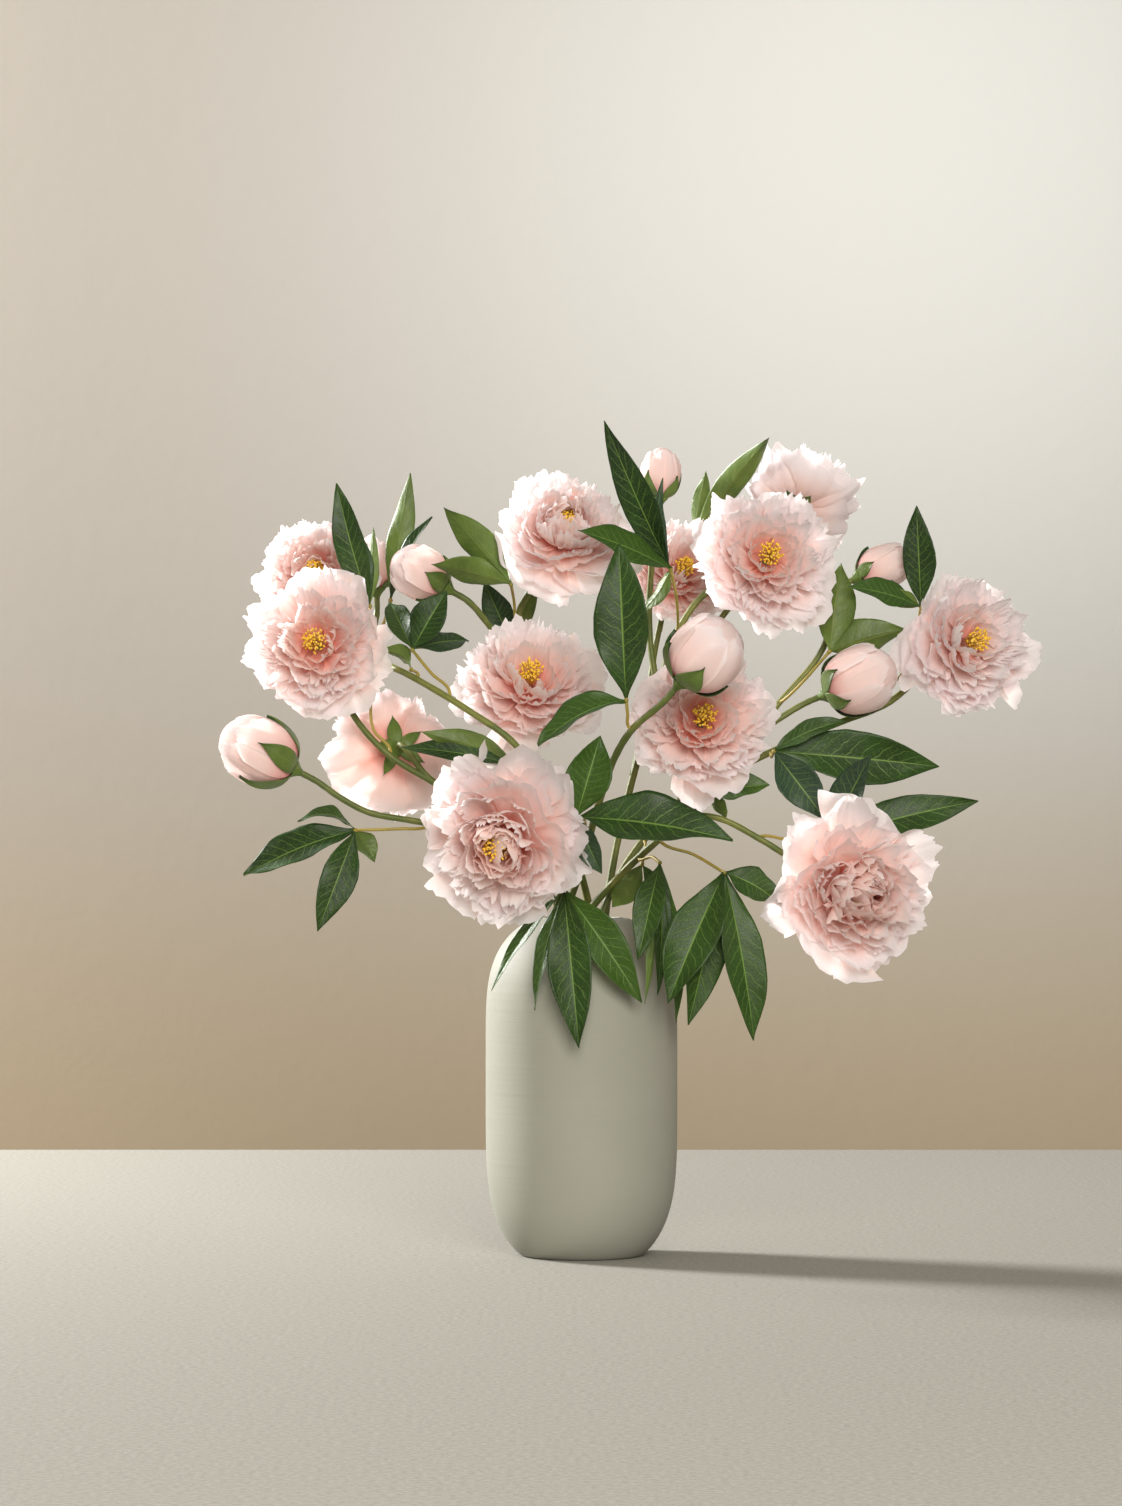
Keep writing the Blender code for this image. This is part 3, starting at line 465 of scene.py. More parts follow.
def make_bloom(name, materials):
    """One open bloom's petals and its tuft of stamens."""
    middle, facing, radius = BLOOMS[name]
    rng = random.Random(f"bloom {name}")
    place = facing_matrix(head_base(middle, facing, radius), facing)
    size = radius * MM
    openness = OPENNESS.get(name, 1.0)
    piece = Piece()
    for number, (count, root, knee, tip, width, cup, teeth, white) in enumerate(WHORLS):
        offset, away = rng.uniform(0, ANY_TURN), rng.uniform(0, ANY_TURN)
        shift = np.array((math.cos(away), math.sin(away), 0)) * rng.uniform(0.02, 0.07)
        for i in range(count):
            inner = number / (len(WHORLS) - 1)
            grow = 1 + rng.uniform(-0.16, 0.05) * (0.6 + 0.4 * inner)
            drop = rng.uniform(-0.13, 0.06) if number > 1 else rng.uniform(-0.2, 0.16)
            close = (1 - openness) * inner ** 1.6
            rise = CUPPING.get(name, 0) * (1 - inner)
            end = (tip[0] * grow * (1 - rng.uniform(0.6, 0.9) * close) - 0.25 * rise,
                   tip[1] + drop * (1 - 0.5 * close) + 0.06 * close + rise)
            bent = (knee[0] * grow * (1 - 0.2 * close), knee[1] + 0.12 * close - 0.3 * rise)
            points, pattern = petal(rng, root, bent, end,
                                    width * (1 + 0.4 * close) * rng.uniform(0.75, 1.35),
                                    cup * rng.uniform(0.5, 1.3),
                                    teeth * (1 - 0.6 * close) * rng.uniform(0.5, 1.4),
                                    offset + 2 * math.pi * i / count, 0.06 + 0.16 * close)
            tone = np.clip(white + rng.uniform(-0.25, 0.25), 0, 1) + PALENESS.get(name, 0)
            tone -= 0.6 * close
            points = points + shift * np.clip(points[..., 2:], 0, 1)
            piece.grid(moved(points * size, place), pattern, tone)
    for _ in range(round((1 - openness) * CROSSING_PETALS)):
        turn, aside = rng.uniform(0, ANY_TURN), 0.24 * math.sqrt(rng.random())
        top = rng.uniform(0.8, 0.93)
        points, pattern = petal(rng, (0.0, 0.2), (rng.uniform(0.16, 0.3), 0.55),
                                (rng.uniform(-0.2, 0.08), top), rng.uniform(0.55, 0.8), 0.3,
                                0.07, turn + rng.uniform(-1.0, 1.0), 0.18)
        shift = np.array((math.cos(turn) * aside, math.sin(turn) * aside, 0))
        points = points + shift * np.clip(points[..., 2:] / top, 0, 1)
        piece.grid(moved(points * size, place), pattern, rng.uniform(-0.5, 0.2))
    for degrees, tip, width, white in LONE_PETALS.get(name, []):
        points, pattern = petal(rng, (0.05, 0.0), (0.75, -0.05), tip, width, 0.2, 0.03,
                                math.radians(degrees), 0.08, 0.16)
        piece.grid(moved(points * size, place), pattern, white)
    piece.make(f"petals_{name}", [materials["petal"]], f"bloom_{name}")
    make_tuft(name, rng, place, size, materials)


def make_tuft(name, rng, place, size, materials):
    """The stamens in the middle of a bloom: threads that lean outwards, each with its grain."""
    tuft = Piece()
    for i in range(TUFT_THREADS):
        out = math.sqrt((i + 0.5) / TUFT_THREADS)
        turn = i * GOLDEN_TURN + rng.uniform(-0.3, 0.3)
        foot = Vector((math.cos(turn), math.sin(turn), 0)) * 0.07 * out
        top = Vector((math.cos(turn), math.sin(turn), 0)) * 0.16 * out
        foot.z = 0.3
        top.z = 0.66 - 0.1 * out ** 2 + rng.uniform(-0.05, 0.05)
        path = smooth_path([foot, foot.lerp(top, 0.5) * 0.98, top], 3)
        path = [place @ (p * size) for p in path]
        tube(tuft, path, [0.25 * MM] * len(path), 5, tone=0.2)
        lean = (path[-1] - path[-2]).normalized()
        lean = (lean + Vector([rng.uniform(-0.7, 0.7) for _ in range(3)])).normalized()
        grain = [path[-1] + lean * d * MM for d, _ in GRAIN_RINGS]
        tube(tuft, grain, [r * MM for _, r in GRAIN_RINGS], 7, tone=rng.uniform(0.5, 1.0))
    tuft.make(f"tuft_{name}", [materials["stamen"]], f"stamens_{name}")


# ---- buds ----
BUD_WRAPS = 9


def egg(u, radius, length, grow):
    """Reach and height on a bud's egg shape, at a share u of the way from its seat to its tip."""
    turn = math.pi * u
    round_off = np.sin(turn)
    reach = radius * round_off ** 0.8 * (1 + 0.1 * np.cos(turn)) + grow * round_off ** 0.5
    return reach, length * (1 - np.cos(turn)) / 2


def make_bud(name, materials):
    """One closed bud: a core and the petals wrapped round it."""
    middle, facing, radius, length = BUDS[name]
    rng = random.Random(f"bud {name}")
    place = facing_matrix(head_base(middle, facing, length), facing)
    piece = Piece()
    rows = np.linspace(0.02, 0.97, 22)
    core = lathe(*egg(rows, radius, length, -0.12 * radius), 32) * MM
    pattern = np.zeros(core.shape)
    pattern[..., 0] = 0.3 + 0.4 * rows[:, None]
    piece.grid(moved(core, place), pattern, 0.3, close=True, cap=True)
    for i in range(BUD_WRAPS):
        layer = i / (BUD_WRAPS - 1)
        turn = i * GOLDEN_TURN + rng.uniform(-0.2, 0.2)
        s = np.linspace(-1, 1, 27)
        phase = [rng.uniform(0, ANY_TURN) for _ in range(4)]
        top = 0.95 - 0.2 * layer * rng.uniform(0.6, 1.1)
        jag = np.array([rng.random() for _ in s]) * 0.06
        end = top * (1 - 0.22 * np.abs(s) ** 2.2 - jag + 0.02 * np.sin(8 * s + phase[0]))
        rim = np.linspace(0, 1, 20)[:, None]
        u = 0.03 + rim * (end[None, :] - 0.03)
        spread = math.radians(rng.uniform(46, 66)) * (1 - 0.3 * u)
        crease = 0.02 * np.sin(6 * s + phase[1]) * u + 0.035 * u ** 3 * np.sin(5 * s + phase[2])
        flare = 0.085 * rng.uniform(0.4, 1.2) * (s ** 4 + rim ** 6)
        grow = radius * (-0.15 + 0.16 * layer + crease + flare)
        reach, height = egg(u, radius, length, grow)
        angle = turn + s * spread
        points = np.stack([reach * np.cos(angle), reach * np.sin(angle), height], -1) * MM
        pattern = np.stack([u, np.broadcast_to(s, u.shape), np.broadcast_to(rim, u.shape)], -1)
        piece.grid(moved(points, place), pattern, rng.uniform(0.2, 1.0))
    piece.make(f"wrap_{name}", [materials["bud"]], f"bud_{name}")


# ---- stems ----
def stem_foot(azimuth):
    """The spray's points inside the vase: its end on the floor, part way up, and in the mouth."""
    lean = np.array((math.cos(azimuth), math.sin(azimuth), 0))
    aside = np.array((math.sin(azimuth), -math.cos(azimuth), 0))
    spread = math.sqrt(STEM_FOOT_RADIUS ** 2 - STEM_NECK_RADIUS ** 2)
    foot = (aside * STEM_NECK_RADIUS - lean * spread) * MM
    neck = aside * STEM_NECK_RADIUS * MM
    foot[2], neck[2] = STEM_FOOT_HEIGHT * MM, (RIM - STEM_NECK_DEPTH) * MM
    return [foot, foot * 0.4 + neck * 0.6, neck]


def head_of(label):
    """Seat and facing of the head that a branch carries, and the head's row in its table."""
    kind, name = label.split()
    row = (BLOOMS if kind == "bloom" else BUDS)[name]
    middle, facing = row[:2]
    return head_base(middle, facing, row[-1]), np.array(Vector(facing).normalized()), row


def spray_paths(spray, steps):
    """Smoothed paths of a spray's trunk and branches, each with its head's label."""
    azimuth, points, head, branches = SPRAYS[spray]

    def approach(label):
        base, facing, _ = head_of(label)
        return [base - facing * 19 * MM, base - facing * 5 * MM]

    trunk = stem_foot(math.radians(azimuth)) + [vec(p) for p in points] + approach(head)
    paths = [(smooth_path(trunk, steps), head)]
    for index, further, label in branches:
        branch = [vec(points[index])] + [vec(p) for p in further] + approach(label)
        paths.append((smooth_path(branch, steps), label))
    return paths


def sepal_bed(label, row, grow):
    """Width of a head's sepals, and what they lie on: under a bloom, or up the side of a bud."""
    if label.startswith("bloom"):
        return 11, lambda t: (3 + 18 * grow * t, -1.6 - 1.5 * t - 4 * t ** 2)
    radius, length = row[2:]
    return 0.75 * radius, lambda t: egg(0.06 + 0.42 * grow * t, radius, length, 0.4)


def sepal(piece, rng, place, turn, surface, width):
    """Adds one pointed green sepal on a surface, which gives reach and height along it."""
    gap, thinness, step = 0.8, 0.3, 0.01
    t, s = np.linspace(0, 1, 16)[:, None], np.linspace(-1, 1, 9)[None, :]
    x = 0.5 * width * np.sin(math.pi * (0.1 + 0.9 * t)) ** 0.7 * (1 - t ** 5) * s
    phase = rng.uniform(0, ANY_TURN)
    lift = 0.12 * width * s ** 2 * t + 0.4 * np.sin(7 * t + phase)
    sides = []
    for thick in (thinness, -thinness):
        reach, height = surface(t)
        ahead = surface(t + step)
        slope = np.stack([ahead[0] - reach, ahead[1] - height], -1)
        slope /= np.linalg.norm(slope, axis=-1, keepdims=True)
        out = lift + thick + gap
        bend = x ** 2 / (2 * np.maximum(reach, 6.0))
        r = reach + slope[..., 1] * out - bend
        z = height - slope[..., 0] * out
        sides.append(np.stack([r, x * np.ones_like(r), z], -1))
    sides = [moved(turned(*np.moveaxis(side, -1, 0), turn) * MM, place) for side in sides]
    piece.blade(sides, t, s, 1, rng.uniform(0.2, 0.8))


# A cup under a flower head, as (height above the head's seat, radius).
CUP_RINGS = [(-7, 2.4), (-5, 3.4), (-3, 5.0), (-1.5, 6.4), (-0.5, 6.8), (-0.3, 4)]
SEPALS = 5


def make_spray(spray, materials):
    """One spray's trunk, branches, cups and sepals."""
    rng = random.Random(f"spray {spray}")
    piece = Piece()
    for number, (path, label) in enumerate(spray_paths(spray, 8)):
        start = TRUNK_RADIUS if number == 0 else BRANCH_RADIUS
        radii = []
        for i in range(len(path)):
            share = i / (len(path) - 1)
            radius = start + (BRANCH_RADIUS - start) * share
            joint = 0.5 * math.exp(-(i / 3) ** 2) if number else 0
            radii.append((radius + joint + 0.08 * math.sin(i * 1.7)) * MM)
        tube(piece, path, radii, 18, 6, 0.16, tone=rng.uniform(0.3, 0.7))
        base, facing, row = head_of(label)
        place = facing_matrix(base, facing)
        centres = [place @ Vector((0, 0, z * MM)) for z, _ in CUP_RINGS]
        tube(piece, centres, [r * MM for _, r in CUP_RINGS], 20, 5, 0.15, tone=0.4, slot=1)
        for i in range(SEPALS):
            turn = 2 * math.pi * (i + rng.uniform(-0.2, 0.2)) / SEPALS
            width, surface = sepal_bed(label, row, rng.uniform(0.7, 1.2))
            sepal(piece, rng, place, turn, surface, width * rng.uniform(0.8, 1.1))
    piece.make(f"spray_{spray}", [materials["stem"], materials["leaf"]],
               f"stem_{spray}")


# ---- leaves ----
def petiole_path(spray, beside, further):
    """Path of a leaf's stalk from inside the side of the nearest stem to the leaf's hand."""
    beside = Vector(vec(beside))
    nearest = None
    for path, _ in spray_paths(spray, 4):
        for a, b in zip(path, path[1:]):
            leg = b - a
            share = min(max((beside - a).dot(leg) / leg.dot(leg), 0), 1)
            spot = a + leg * share
            if nearest is None or (spot - beside).length < (nearest - beside).length:
                nearest, along = spot, leg.normalized()
    away = Vector(vec(further[0])) - nearest
    away = (away - along * away.dot(along)).normalized()
    start = [nearest + away * 1.0 * MM, nearest + away * 3.2 * MM]
    return start + [Vector(vec(p)) for p in further]


# The knob that a leaf's blades spread from, as (distance along the stalk, radius).
HAND_RINGS = ((-2, 0.9), (-1, 1.5), (0, 1.7), (1, 1.4), (1.8, 0.5))
# A leaflet's half width along its length, as shares.
BLADE_ALONG = (0, 0.06, 0.18, 0.3, 0.42, 0.55, 0.66, 0.78, 0.88, 0.95, 1.0)
BLADE_WIDTH = (0.03, 0.14, 0.52, 0.83, 1.0, 0.98, 0.86, 0.62, 0.36, 0.16, 0.015)
BLADE_HALF = 0.28  # half of its thickness


def leaflet(piece, rng, hand, tip, width, face, arch):
    """Adds one thin veined blade from the hand of the leaf to its tip."""
    rows, columns, side_veins = 40, 17, 8
    t = np.linspace(0, 1, rows)[:, None]
    s = np.linspace(-1, 1, columns)[None, :]
    along = (tip - hand).normalized()
    side = along.cross(Vector(face)).normalized()
    up = side.cross(along)
    middle = (hand + tip) / 2 + up * arch * 2 * MM
    line, _ = arc(t, hand, middle, tip)
    outline = np.interp(t, BLADE_ALONG, BLADE_WIDTH)
    phase = [rng.uniform(0, ANY_TURN) for _ in range(5)]
    outline = outline * (1 + 0.05 * np.sin(7 * t + phase[0]) * np.sign(s))
    half = 0.5 * width * outline * MM
    fold = 0.3 + 0.1 * math.sin(phase[1])
    lift = half * fold * np.abs(s) ** 1.3
    lift = lift + width * MM * 0.05 * np.sin(8 * t + phase[2] + 0.9 * np.sign(s)) * np.abs(s) ** 2
    lift = lift + width * MM * 0.03 * np.sin(17 * t + phase[3]) * np.abs(s) ** 3
    vein = (t * side_veins - np.abs(s) * 1.1) % 1.0
    groove = -0.22 * np.exp(-((vein - 0.5) / 0.16) ** 2) * (1 - np.abs(s) ** 3) \
        - 0.5 * np.exp(-(s / 0.1) ** 2)
    lift = lift + groove * MM * np.clip(outline * 1.5, 0, 1)
    twist = 0.35 * rng.uniform(-1, 1) * t
    shapes = []
    for thick in (BLADE_HALF, -BLADE_HALF):
        height = lift + thick * MM * (1 - 0.85 * np.abs(s) ** 6)
        x = half * s * (1 - 0.06 * np.abs(s))
        xx = x * np.cos(twist) - height * np.sin(twist)
        hh = x * np.sin(twist) + height * np.cos(twist)
        shapes.append(line + xx[..., None] * np.array(side) + hh[..., None] * np.array(up))
    piece.blade(shapes, t, s, 0, rng.uniform(0, 1))


def make_leaf(name, materials):
    """One compound leaf: its stalk and its leaflets."""
    spray, beside, further, blades = LEAVES[name]
    rng = random.Random(f"leaf {name}")
    piece = Piece()
    path = smooth_path(petiole_path(spray, beside, further), 6)
    radii = [(PETIOLE_RADIUS - 0.4 * min(1, i / 8)) * MM for i in range(len(path))]
    tube(piece, path, radii, 10, 4, 0.15, tone=rng.uniform(0.6, 1.0))
    hand, ahead = path[-1], (path[-1] - path[-2]).normalized()
    ball = [hand + ahead * d * MM for d, _ in HAND_RINGS]
    tube(piece, ball, [r * MM for _, r in HAND_RINGS], 10, tone=0.6)
    for tip, width, face, arch in blades:
        leaflet(piece, rng, hand, Vector(vec(tip)), width, face, arch)
    piece.make(f"foliage_{name}", [materials["petiole"], materials["leaf"]],
               f"leaf_{name}")


# ---- vase ----
def make_vase(materials):
    """The vase as a fine lathed shape with the CAD vase's profile."""
    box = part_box("vase")
    height, radius = box[1].z / MM, (box[1].x - box[0].x) / 2 / MM
    base, mouth, lip = VASE_BASE_RADIUS, VASE_MOUTH_RADIUS, VASE_LIP_RADIUS

    def swell(share, bend):
        """Share of the way out from a narrow end to the belly."""
        return (1 - (1 - share) ** 4) ** bend

    steps = 28
    shares = (np.arange(steps + 1) / steps) ** 1.6
    edge = mouth + 2 * lip
    outline = [(base + (radius - base) * swell(s, 0.8), VASE_LOWER_BEND * s) for s in shares]
    outline += [(edge + (radius - edge) * swell(s, 0.72), height - VASE_UPPER_BEND * s)
                for s in shares[::-1]]
    outline = [p for i, p in enumerate(outline) if i == 0 or p != outline[i - 1]]
    lining = []
    for i in range(1, len(outline) - 1):
        along = np.array(outline[i + 1]) - outline[i - 1]
        inward = np.array((-along[1], along[0])) / np.linalg.norm(along)
        r, z = np.array(outline[i]) + inward * VASE_WALL
        if r > mouth + 1 and z > VASE_FLOOR + 1:
            lining.append((r, z))
    turn = np.radians(np.arange(20, 181, 20))
    lips = [(mouth + lip + lip * math.cos(a), height - lip + lip * math.sin(a)) for a in turn]
    heel = [(0.01, 0.6), (base - 6, 0.6), (base - 5, 0.0), (base - 1.2, 0.0)]
    rings = heel + outline[1:-1] + lips + [(mouth, height - VASE_WALL)] + lining[::-1]
    rings += [(lining[0][0] - lip, VASE_FLOOR), (0.01, VASE_FLOOR)]
    points = lathe(*(np.array(rings) * MM).T, 128)
    piece = Piece()
    piece.grid(points, points / MM, close=True, cap=True)
    piece.make("vessel", [materials["glaze"]], "vase")


# ---- materials ----
class Shader:
    """Small helper that adds nodes to a new material, and links them where a socket is given."""

    def __init__(self, name, roughness, specular):
        self.material = bpy.data.materials.new(name)
        self.material.use_nodes = True
        self.tree = self.material.node_tree
        self.main = self.tree.nodes["Principled BSDF"]
        self.main.inputs["Roughness"].default_value = roughness
        self.main.inputs["Specular IOR Level"].default_value = specular

    def node(self, kind, inputs=(), **settings):
        made = self.tree.nodes.new(kind)
        for key, value in settings.items():
            setattr(made, key, value)
        for key, value in dict(inputs).items():
            if isinstance(value, bpy.types.NodeSocket):
                self.tree.links.new(value, made.inputs[key])
            else:
                made.inputs[key].default_value = value
        return made

    def value(self, kind, inputs, **settings):
        """The first output of a new node."""
        return self.node(kind, inputs, **settings).outputs[0]

    def math(self, operation, a, b=0.0, clamp=False):
        return self.value("ShaderNodeMath", {0: a, 1: b}, operation=operation, use_clamp=clamp)

    def plus(self, a, b, clamp=False):
        return self.math("ADD", a, b, clamp)

    def minus(self, a, b, clamp=False):
        return self.math("SUBTRACT", a, b, clamp)

    def times(self, a, b):
        return self.math("MULTIPLY", a, b)

    def rest(self, value, clamp=False):
        """One less a value."""
        return self.minus(1.0, value, clamp)

    def smooth(self, value, low, high):
        """A soft step from 0 at low to 1 at high."""
        return self.value("ShaderNodeMapRange", {0: value, 1: low, 2: high},
                          interpolation_type="SMOOTHSTEP")

    def mix(self, factor, a, b):
        made = self.node("ShaderNodeMix", {0: factor, 6: a, 7: b}, data_type="RGBA")
        return made.outputs[2]

    def pattern(self):
        return self.node("ShaderNodeAttribute", attribute_name="pattern").outputs["Vector"]

    def tone(self):
        return self.node("ShaderNodeAttribute", attribute_name="tone").outputs["Fac"]

    def noise(self, vector, scale, detail=2.0, roughness=0.5):
        return self.value("ShaderNodeTexNoise", {"Vector": vector, "Scale": scale,
                                                 "Detail": detail, "Roughness": roughness})

    def stretched(self, vector, scale):
        return self.value("ShaderNodeVectorMath", {0: vector, 1: scale}, operation="MULTIPLY")

    def split(self, vector):
        return tuple(self.node("ShaderNodeSeparateXYZ", {0: vector}).outputs)

    def place(self):
        return self.node("ShaderNodeTexCoord").outputs["Object"]

    def bump(self, height, distance, strength):
        made = self.node("ShaderNodeBump", {"Height": height, "Distance": distance,
                                            "Strength": strength})
        self.tree.links.new(made.outputs[0], self.main.inputs["Normal"])

    def colour(self, socket):
        self.tree.links.new(socket, self.main.inputs["Base Color"])

    def blend_surface(self, share, other):
        """Mixes a share of another shader into the surface."""
        both = self.node("ShaderNodeMixShader", {0: share, 1: self.main.outputs[0],
                                                 2: other.outputs[0]})
        out = self.tree.nodes["Material Output"]
        self.tree.links.new(both.outputs[0], out.inputs["Surface"])

    def clear_from_behind(self):
        """Hides the back of a surface."""
        behind = self.node("ShaderNodeNewGeometry").outputs["Backfacing"]
        self.blend_surface(behind, self.node("ShaderNodeBsdfTransparent"))

    def glow_through(self, socket, share):
        """Lets light from behind through a thin fabric."""
        self.blend_surface(share, self.node("ShaderNodeBsdfTranslucent", {"Color": socket}))


def petal_material(name, deep, middle, edge, start, end):
    """Thin pleated fabric, coloured from its root to its bleached edge, with a painted highlight
    whitening its rims.
    """
    s = Shader(name, 0.62, 0.25)
    pattern, tone = s.pattern(), s.tone()
    along, _, rim = s.split(pattern)
    fine = s.noise(s.stretched(pattern, (1.5, 26.0, 0.0)), 1.0, 3.0)
    blotch = s.noise(s.place(), 55.0, 2.0)
    shift = s.math("MULTIPLY_ADD", tone, 0.3)
    shift.node.inputs[2].default_value = -0.15
    level = s.plus(along, shift)
    level = s.plus(level, s.times(s.minus(fine, 0.5), 0.22))
    level = s.plus(level, s.times(s.minus(blotch, 0.5), 0.3))
    body = s.mix(s.smooth(level, start, end), deep, middle)
    pale = s.mix(s.smooth(level, end - 0.05, 1.05), body, edge)
    # The outermost rows are whitened: partly the petal's bleached edge, partly a painted highlight
    # along its rims.
    rim_bleach_and_highlight = s.times(s.smooth(rim, 0.84, 1.0), s.plus(s.times(tone, 0.9), 0.2, True))
    pale = s.mix(rim_bleach_and_highlight, pale, edge)
    root = s.rest(s.smooth(s.plus(along, s.times(fine, 0.12)), 0.1, 0.5))
    blush = s.rest(s.times(tone, 0.6), True)
    pale = s.mix(s.times(root, blush), pale, deep)
    s.colour(pale)
    s.bump(s.plus(fine, s.times(s.noise(s.place(), 900.0, 2.0), 0.3)), 0.0006, 0.55)
    s.main.inputs["Sheen Weight"].default_value = 0.15
    s.glow_through(s.mix(0.4, pale, (1.0, 0.80, 0.73, 1)), 0.52)
    return s.material


def leaf_material():
    """Stiffened printed fabric: dark veined upper side with a painted bluish sheen on some
    leaflets, olive underside, woven all over.
    """
    s = Shader("leaf_print", 0.42, 0.34)
    along, across, upper = s.split(s.pattern())
    tone, off = s.tone(), s.math("ABSOLUTE", across)
    blotch = s.noise(s.place(), 38.0, 3.0, 0.6)
    grain = s.noise(s.place(), 650.0, 2.0)
    dark = s.mix(s.smooth(blotch, 0.3, 0.7), (0.007, 0.021, 0.003, 1), (0.016, 0.050, 0.005, 1))
    bright = s.times(s.smooth(tone, 0.45, 1.0), 0.8)
    dark = s.mix(bright, dark, (0.046, 0.105, 0.008, 1))
    # Painted sheen: the upper side of leaflets with low tone gets a bluish-grey satin sheen
    # painted into its colour.
    painted_sheen = s.times(s.rest(s.smooth(tone, 0.05, 0.4)), 0.55)
    dark = s.mix(painted_sheen, dark, (0.030, 0.058, 0.045, 1))
    dark = s.mix(s.times(s.smooth(grain, 0.45, 0.75), 0.25), dark, (0.042, 0.095, 0.022, 1))
    beat = s.minus(s.times(along, 12.0), s.times(off, 1.9))
    beat = s.plus(beat, s.times(s.noise(s.place(), 90.0, 2.0), 0.9))
    line = s.math("ABSOLUTE", s.minus(s.math("FRACT", beat), 0.5))
    side_vein = s.rest(s.smooth(line, 0.015, 0.07))
    side_vein = s.times(side_vein, s.rest(s.smooth(off, 0.55, 0.98)))
    rib = s.rest(s.smooth(off, 0.01, 0.055))
    net = s.math("ABSOLUTE", s.minus(s.noise(s.place(), 260.0, 1.0), 0.5))
    net = s.times(s.rest(s.smooth(net, 0.0, 0.03)), 0.22)
    veins = s.math("MAXIMUM", s.times(side_vein, 0.5), s.times(rib, 0.85))
    veins = s.math("MAXIMUM", veins, net)
    top = s.mix(s.times(veins, 0.75), dark, (0.2, 0.34, 0.06, 1))
    under = s.mix(s.smooth(blotch, 0.3, 0.7), (0.075, 0.12, 0.02, 1), (0.13, 0.2, 0.035, 1))
    under = s.mix(s.times(veins, 0.5), under, (0.22, 0.26, 0.06, 1))
    body = s.mix(s.smooth(upper, 0.3, 0.7), under, top)
    s.colour(body)
    weave = s.plus(s.times(grain, 0.6), s.times(veins, -0.8))
    s.bump(weave, 0.0005, 0.6)
    s.main.inputs["Sheen Weight"].default_value = 0.05
    s.main.inputs["Sheen Tint"].default_value = (0.75, 0.9, 1.0, 1)
    s.glow_through(s.mix(0.5, body, (0.2, 0.3, 0.03, 1)), 0.12)
    return s.material


def stem_material(name, low, high, painted_groove_shade):
    """Moulded ribbed plastic, mottled from green to brown, with painted shade in the grooves
    between its ribs.
    """
    s = Shader(name, 0.5, 0.4)
    _, rib, _ = s.split(s.pattern())
    blotch = s.noise(s.place(), 42.0, 3.0, 0.6)
    level = s.plus(blotch, s.times(s.minus(s.tone(), 0.5), 0.4))
    body = s.mix(s.smooth(level, 0.35, 0.7), low, high)
    # Painted shade: the grooves between the ribs are darkened towards the painted groove shade
    # colour.
    groove = s.rest(s.smooth(rib, 0.93, 1.03))
    body = s.mix(s.times(groove, 0.6), body, painted_groove_shade)
    s.colour(body)
    s.bump(s.noise(s.place(), 420.0, 3.0), 0.0004, 0.5)
    return s.material


def stamen_material():
    """Golden threads with powdery, darker-flecked ends."""
    s = Shader("stamen_gold", 0.7, 0.2)
    fleck = s.noise(s.place(), 900.0, 2.0)
    body = s.mix(s.smooth(s.tone(), 0.2, 1.0), (0.85, 0.62, 0.16, 1), (0.92, 0.55, 0.03, 1))
    body = s.mix(s.smooth(fleck, 0.5, 0.8), body, (0.98, 0.78, 0.14, 1))
    s.colour(body)
    s.bump(fleck, 0.0006, 0.8)
    return s.material


def glaze_material():
    """Unglazed-looking matte ceramic with faint throwing marks and fine grain."""
    s = Shader("matte_glaze", 0.62, 0.35)
    place = s.place()
    grain = s.noise(place, 700.0, 3.0, 0.6)
    cloud = s.noise(place, 9.0, 3.0)
    rings = s.noise(s.stretched(place, (4.0, 4.0, 260.0)), 1.0, 2.0)
    body = s.mix(s.smooth(cloud, 0.3, 0.7), (0.288, 0.286, 0.238, 1), (0.308, 0.306, 0.256, 1))
    body = s.mix(s.times(s.smooth(grain, 0.5, 0.8), 0.12), body, (0.26, 0.256, 0.218, 1))
    s.colour(body)
    s.bump(s.plus(s.times(grain, 0.5), rings), 0.0004, 0.35)
    return s.material


def stage_shader(name, light, dark, scale, upright):
    """Matte grainy surface: mottled, or if it is upright, changing from dark up to light."""
    s = Shader(name, 0.85, 0.2)
    grain = s.noise(s.place(), scale, 4.0, 0.65)
    if upright:
        share = s.smooth(s.split(s.place())[2], -0.1, 0.5)
    else:
        share = s.smooth(grain, 0.35, 0.65)
    s.colour(s.mix(share, dark, light))
    s.bump(grain, 0.001, 0.4)
    return s


def make_materials():
    """Every finish of the bouquet."""
    return {
        "petal": petal_material("petal_silk", (1.0, 0.51, 0.42, 1), (0.975, 0.825, 0.79, 1),
                                (0.955, 0.94, 0.975, 1), 0.06, 0.56),
        "bud": petal_material("bud_silk", (0.95, 0.52, 0.50, 1), (0.97, 0.84, 0.81, 1),
                              (0.97, 0.95, 0.975, 1), -0.05, 0.42),
        "leaf": leaf_material(),
        "stem": stem_material("stem_mould", (0.085, 0.115, 0.02, 1), (0.19, 0.20, 0.045, 1),
                              (0.06, 0.06, 0.015, 1)),
        "petiole": stem_material("petiole_mould", (0.2, 0.19, 0.035, 1), (0.36, 0.27, 0.05, 1),
                                 (0.13, 0.09, 0.02, 1)),
        "stamen": stamen_material(),
        "glaze": glaze_material(),
    }


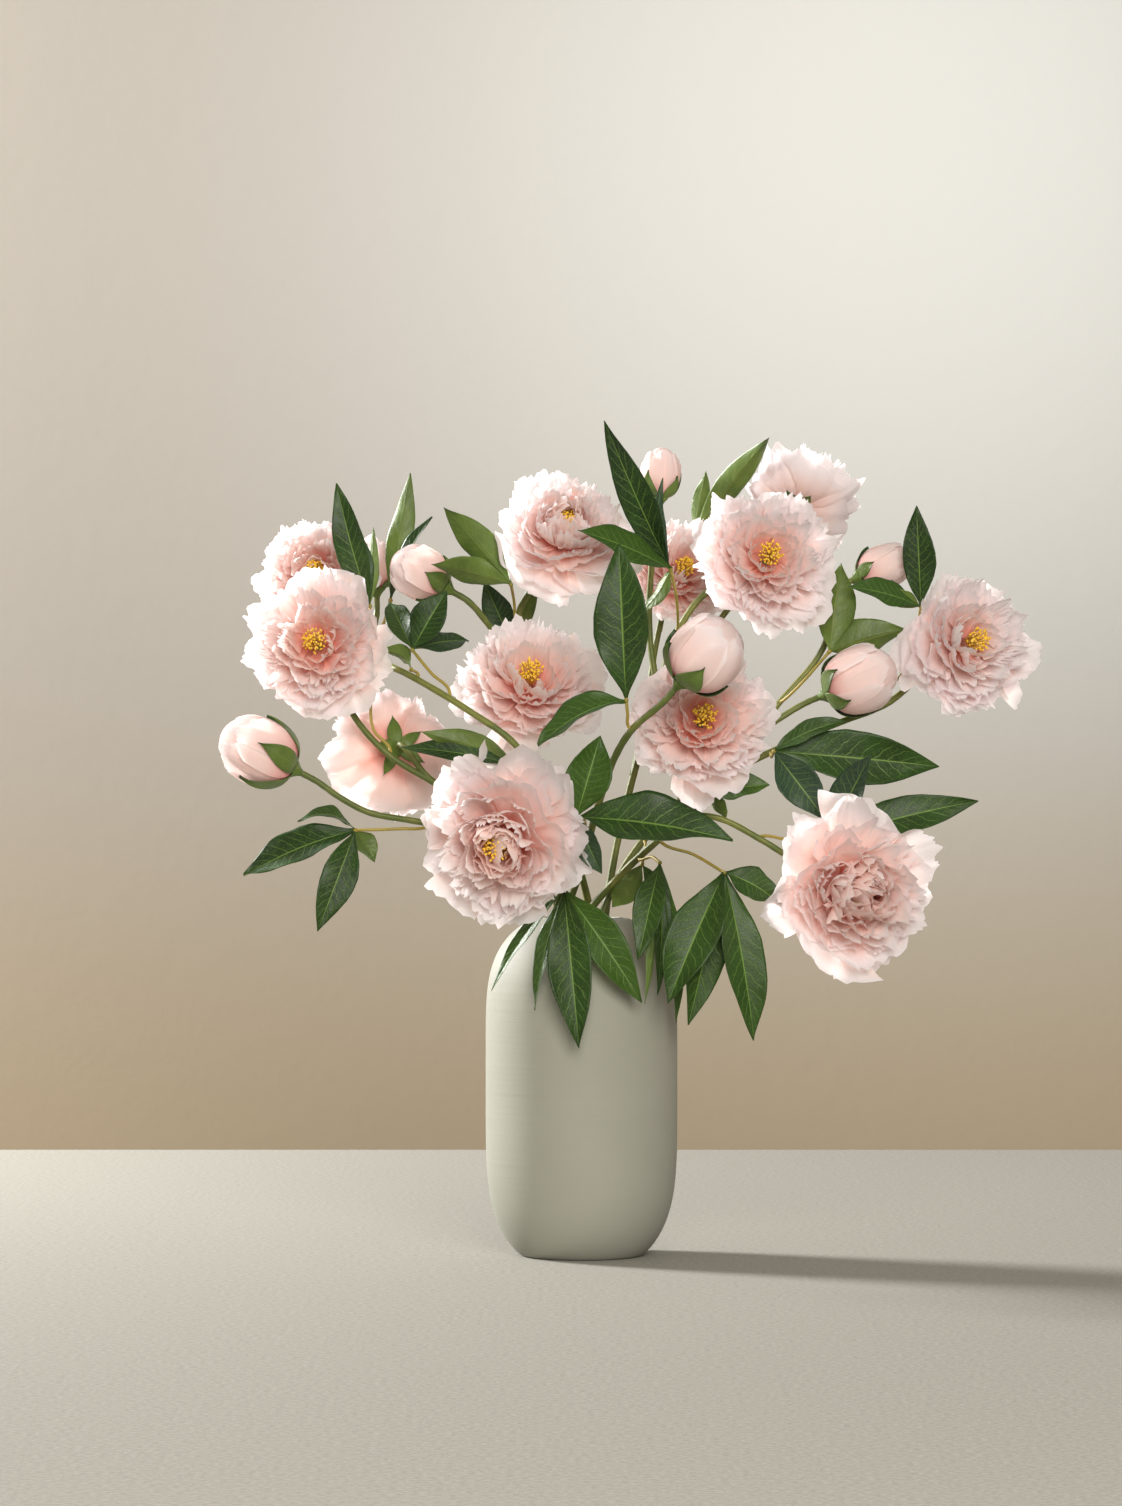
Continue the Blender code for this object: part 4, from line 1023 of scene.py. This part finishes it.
# ---- stage, light and camera ----
def make_stage():
    """Plain pale floor and a plain warm wall behind it, which lets a look from behind through."""
    back, wall, half, front = 1.05, 2.0, 5.0, -7.0
    sheets = (("floor", [(front, 0.0), (back, 0.0)],
               ((0.312, 0.302, 0.265, 1), (0.25, 0.242, 0.21, 1)), 260.0),
              ("backdrop", [(wall, -1.0), (wall, 3.5)],
               ((0.272, 0.246, 0.212, 1), (0.315, 0.252, 0.17, 1)), 30.0))
    for name, path, colours, scale in sheets:
        mesh = bpy.data.meshes.new(name)
        points = [(x, y, z) for y, z in path for x in (-half, half)]
        mesh.from_pydata(points, [], [(0, 1, 3, 2)])
        upright = name == "backdrop"
        s = stage_shader(f"{name}_finish", *colours, scale, upright)
        if upright:
            s.clear_from_behind()
        mesh.materials.append(s.material)
        obj = add_object(name, mesh)


def aimed_light(name, kind, place, target, power, colour):
    """A lamp aimed at a target; returns its data, for the settings of its kind."""
    data = bpy.data.lights.new(name, kind)
    data.energy, data.color = power, colour
    obj = add_object(name, data)
    obj.location = place
    obj.rotation_euler = (Vector(target) - Vector(place)).to_track_quat("-Z", "Y").to_euler()
    return data


def make_lights():
    """Soft key from behind the left, broad fill from the front, and a glow on the wall."""
    middle = (0, 0, 0.35)
    for name, place, size, power, colour in (
            ("key", (-2.4, 1.3, 1.5), 0.7, 225, (1.0, 0.99, 0.98)),
            ("fill", (0.5, -4.2, 1.7), 2.0, 168, (1.0, 0.955, 0.89))):
        lamp = aimed_light(name, "AREA", place, middle, power, colour)
        lamp.shape, lamp.size = "DISK", size
    glow = aimed_light("glow", "SPOT", (0.42, 0.95, 1.08), (0.42, 2.0, 1.04), 100,
                       (0.78, 0.89, 1.0))
    glow.spot_size, glow.spot_blend = math.radians(110), 1.0
    glow.shadow_soft_size = 0.1
    world = bpy.data.worlds.new("studio")
    world.use_nodes = True
    world.node_tree.nodes["Background"].inputs["Color"].default_value = (1.0, 0.94, 0.84, 1)
    world.node_tree.nodes["Background"].inputs["Strength"].default_value = 0.42
    bpy.context.scene.world = world
    bpy.context.scene.view_settings.view_transform = "Standard"


def make_camera():
    """Long lens, level with the lower blooms."""
    data = bpy.data.cameras.new("camera")
    data.sensor_width = 36.0
    data.lens = 124.3
    data.shift_y = 0.01
    data.clip_end = 50.0
    obj = add_object("camera", data)
    obj.location = (-0.015, -3.8, 0.356)
    obj.rotation_euler = (math.radians(90), 0, 0)
    bpy.context.scene.camera = obj


def main():
    """Builds every piece, the stage, the lights and the camera."""
    materials = make_materials()
    make_vase(materials)
    for name in SPRAYS:
        make_spray(name, materials)
    for name in BLOOMS:
        make_bloom(name, materials)
    for name in BUDS:
        make_bud(name, materials)
    for name in LEAVES:
        make_leaf(name, materials)
    make_stage()
    make_lights()
    make_camera()


main()
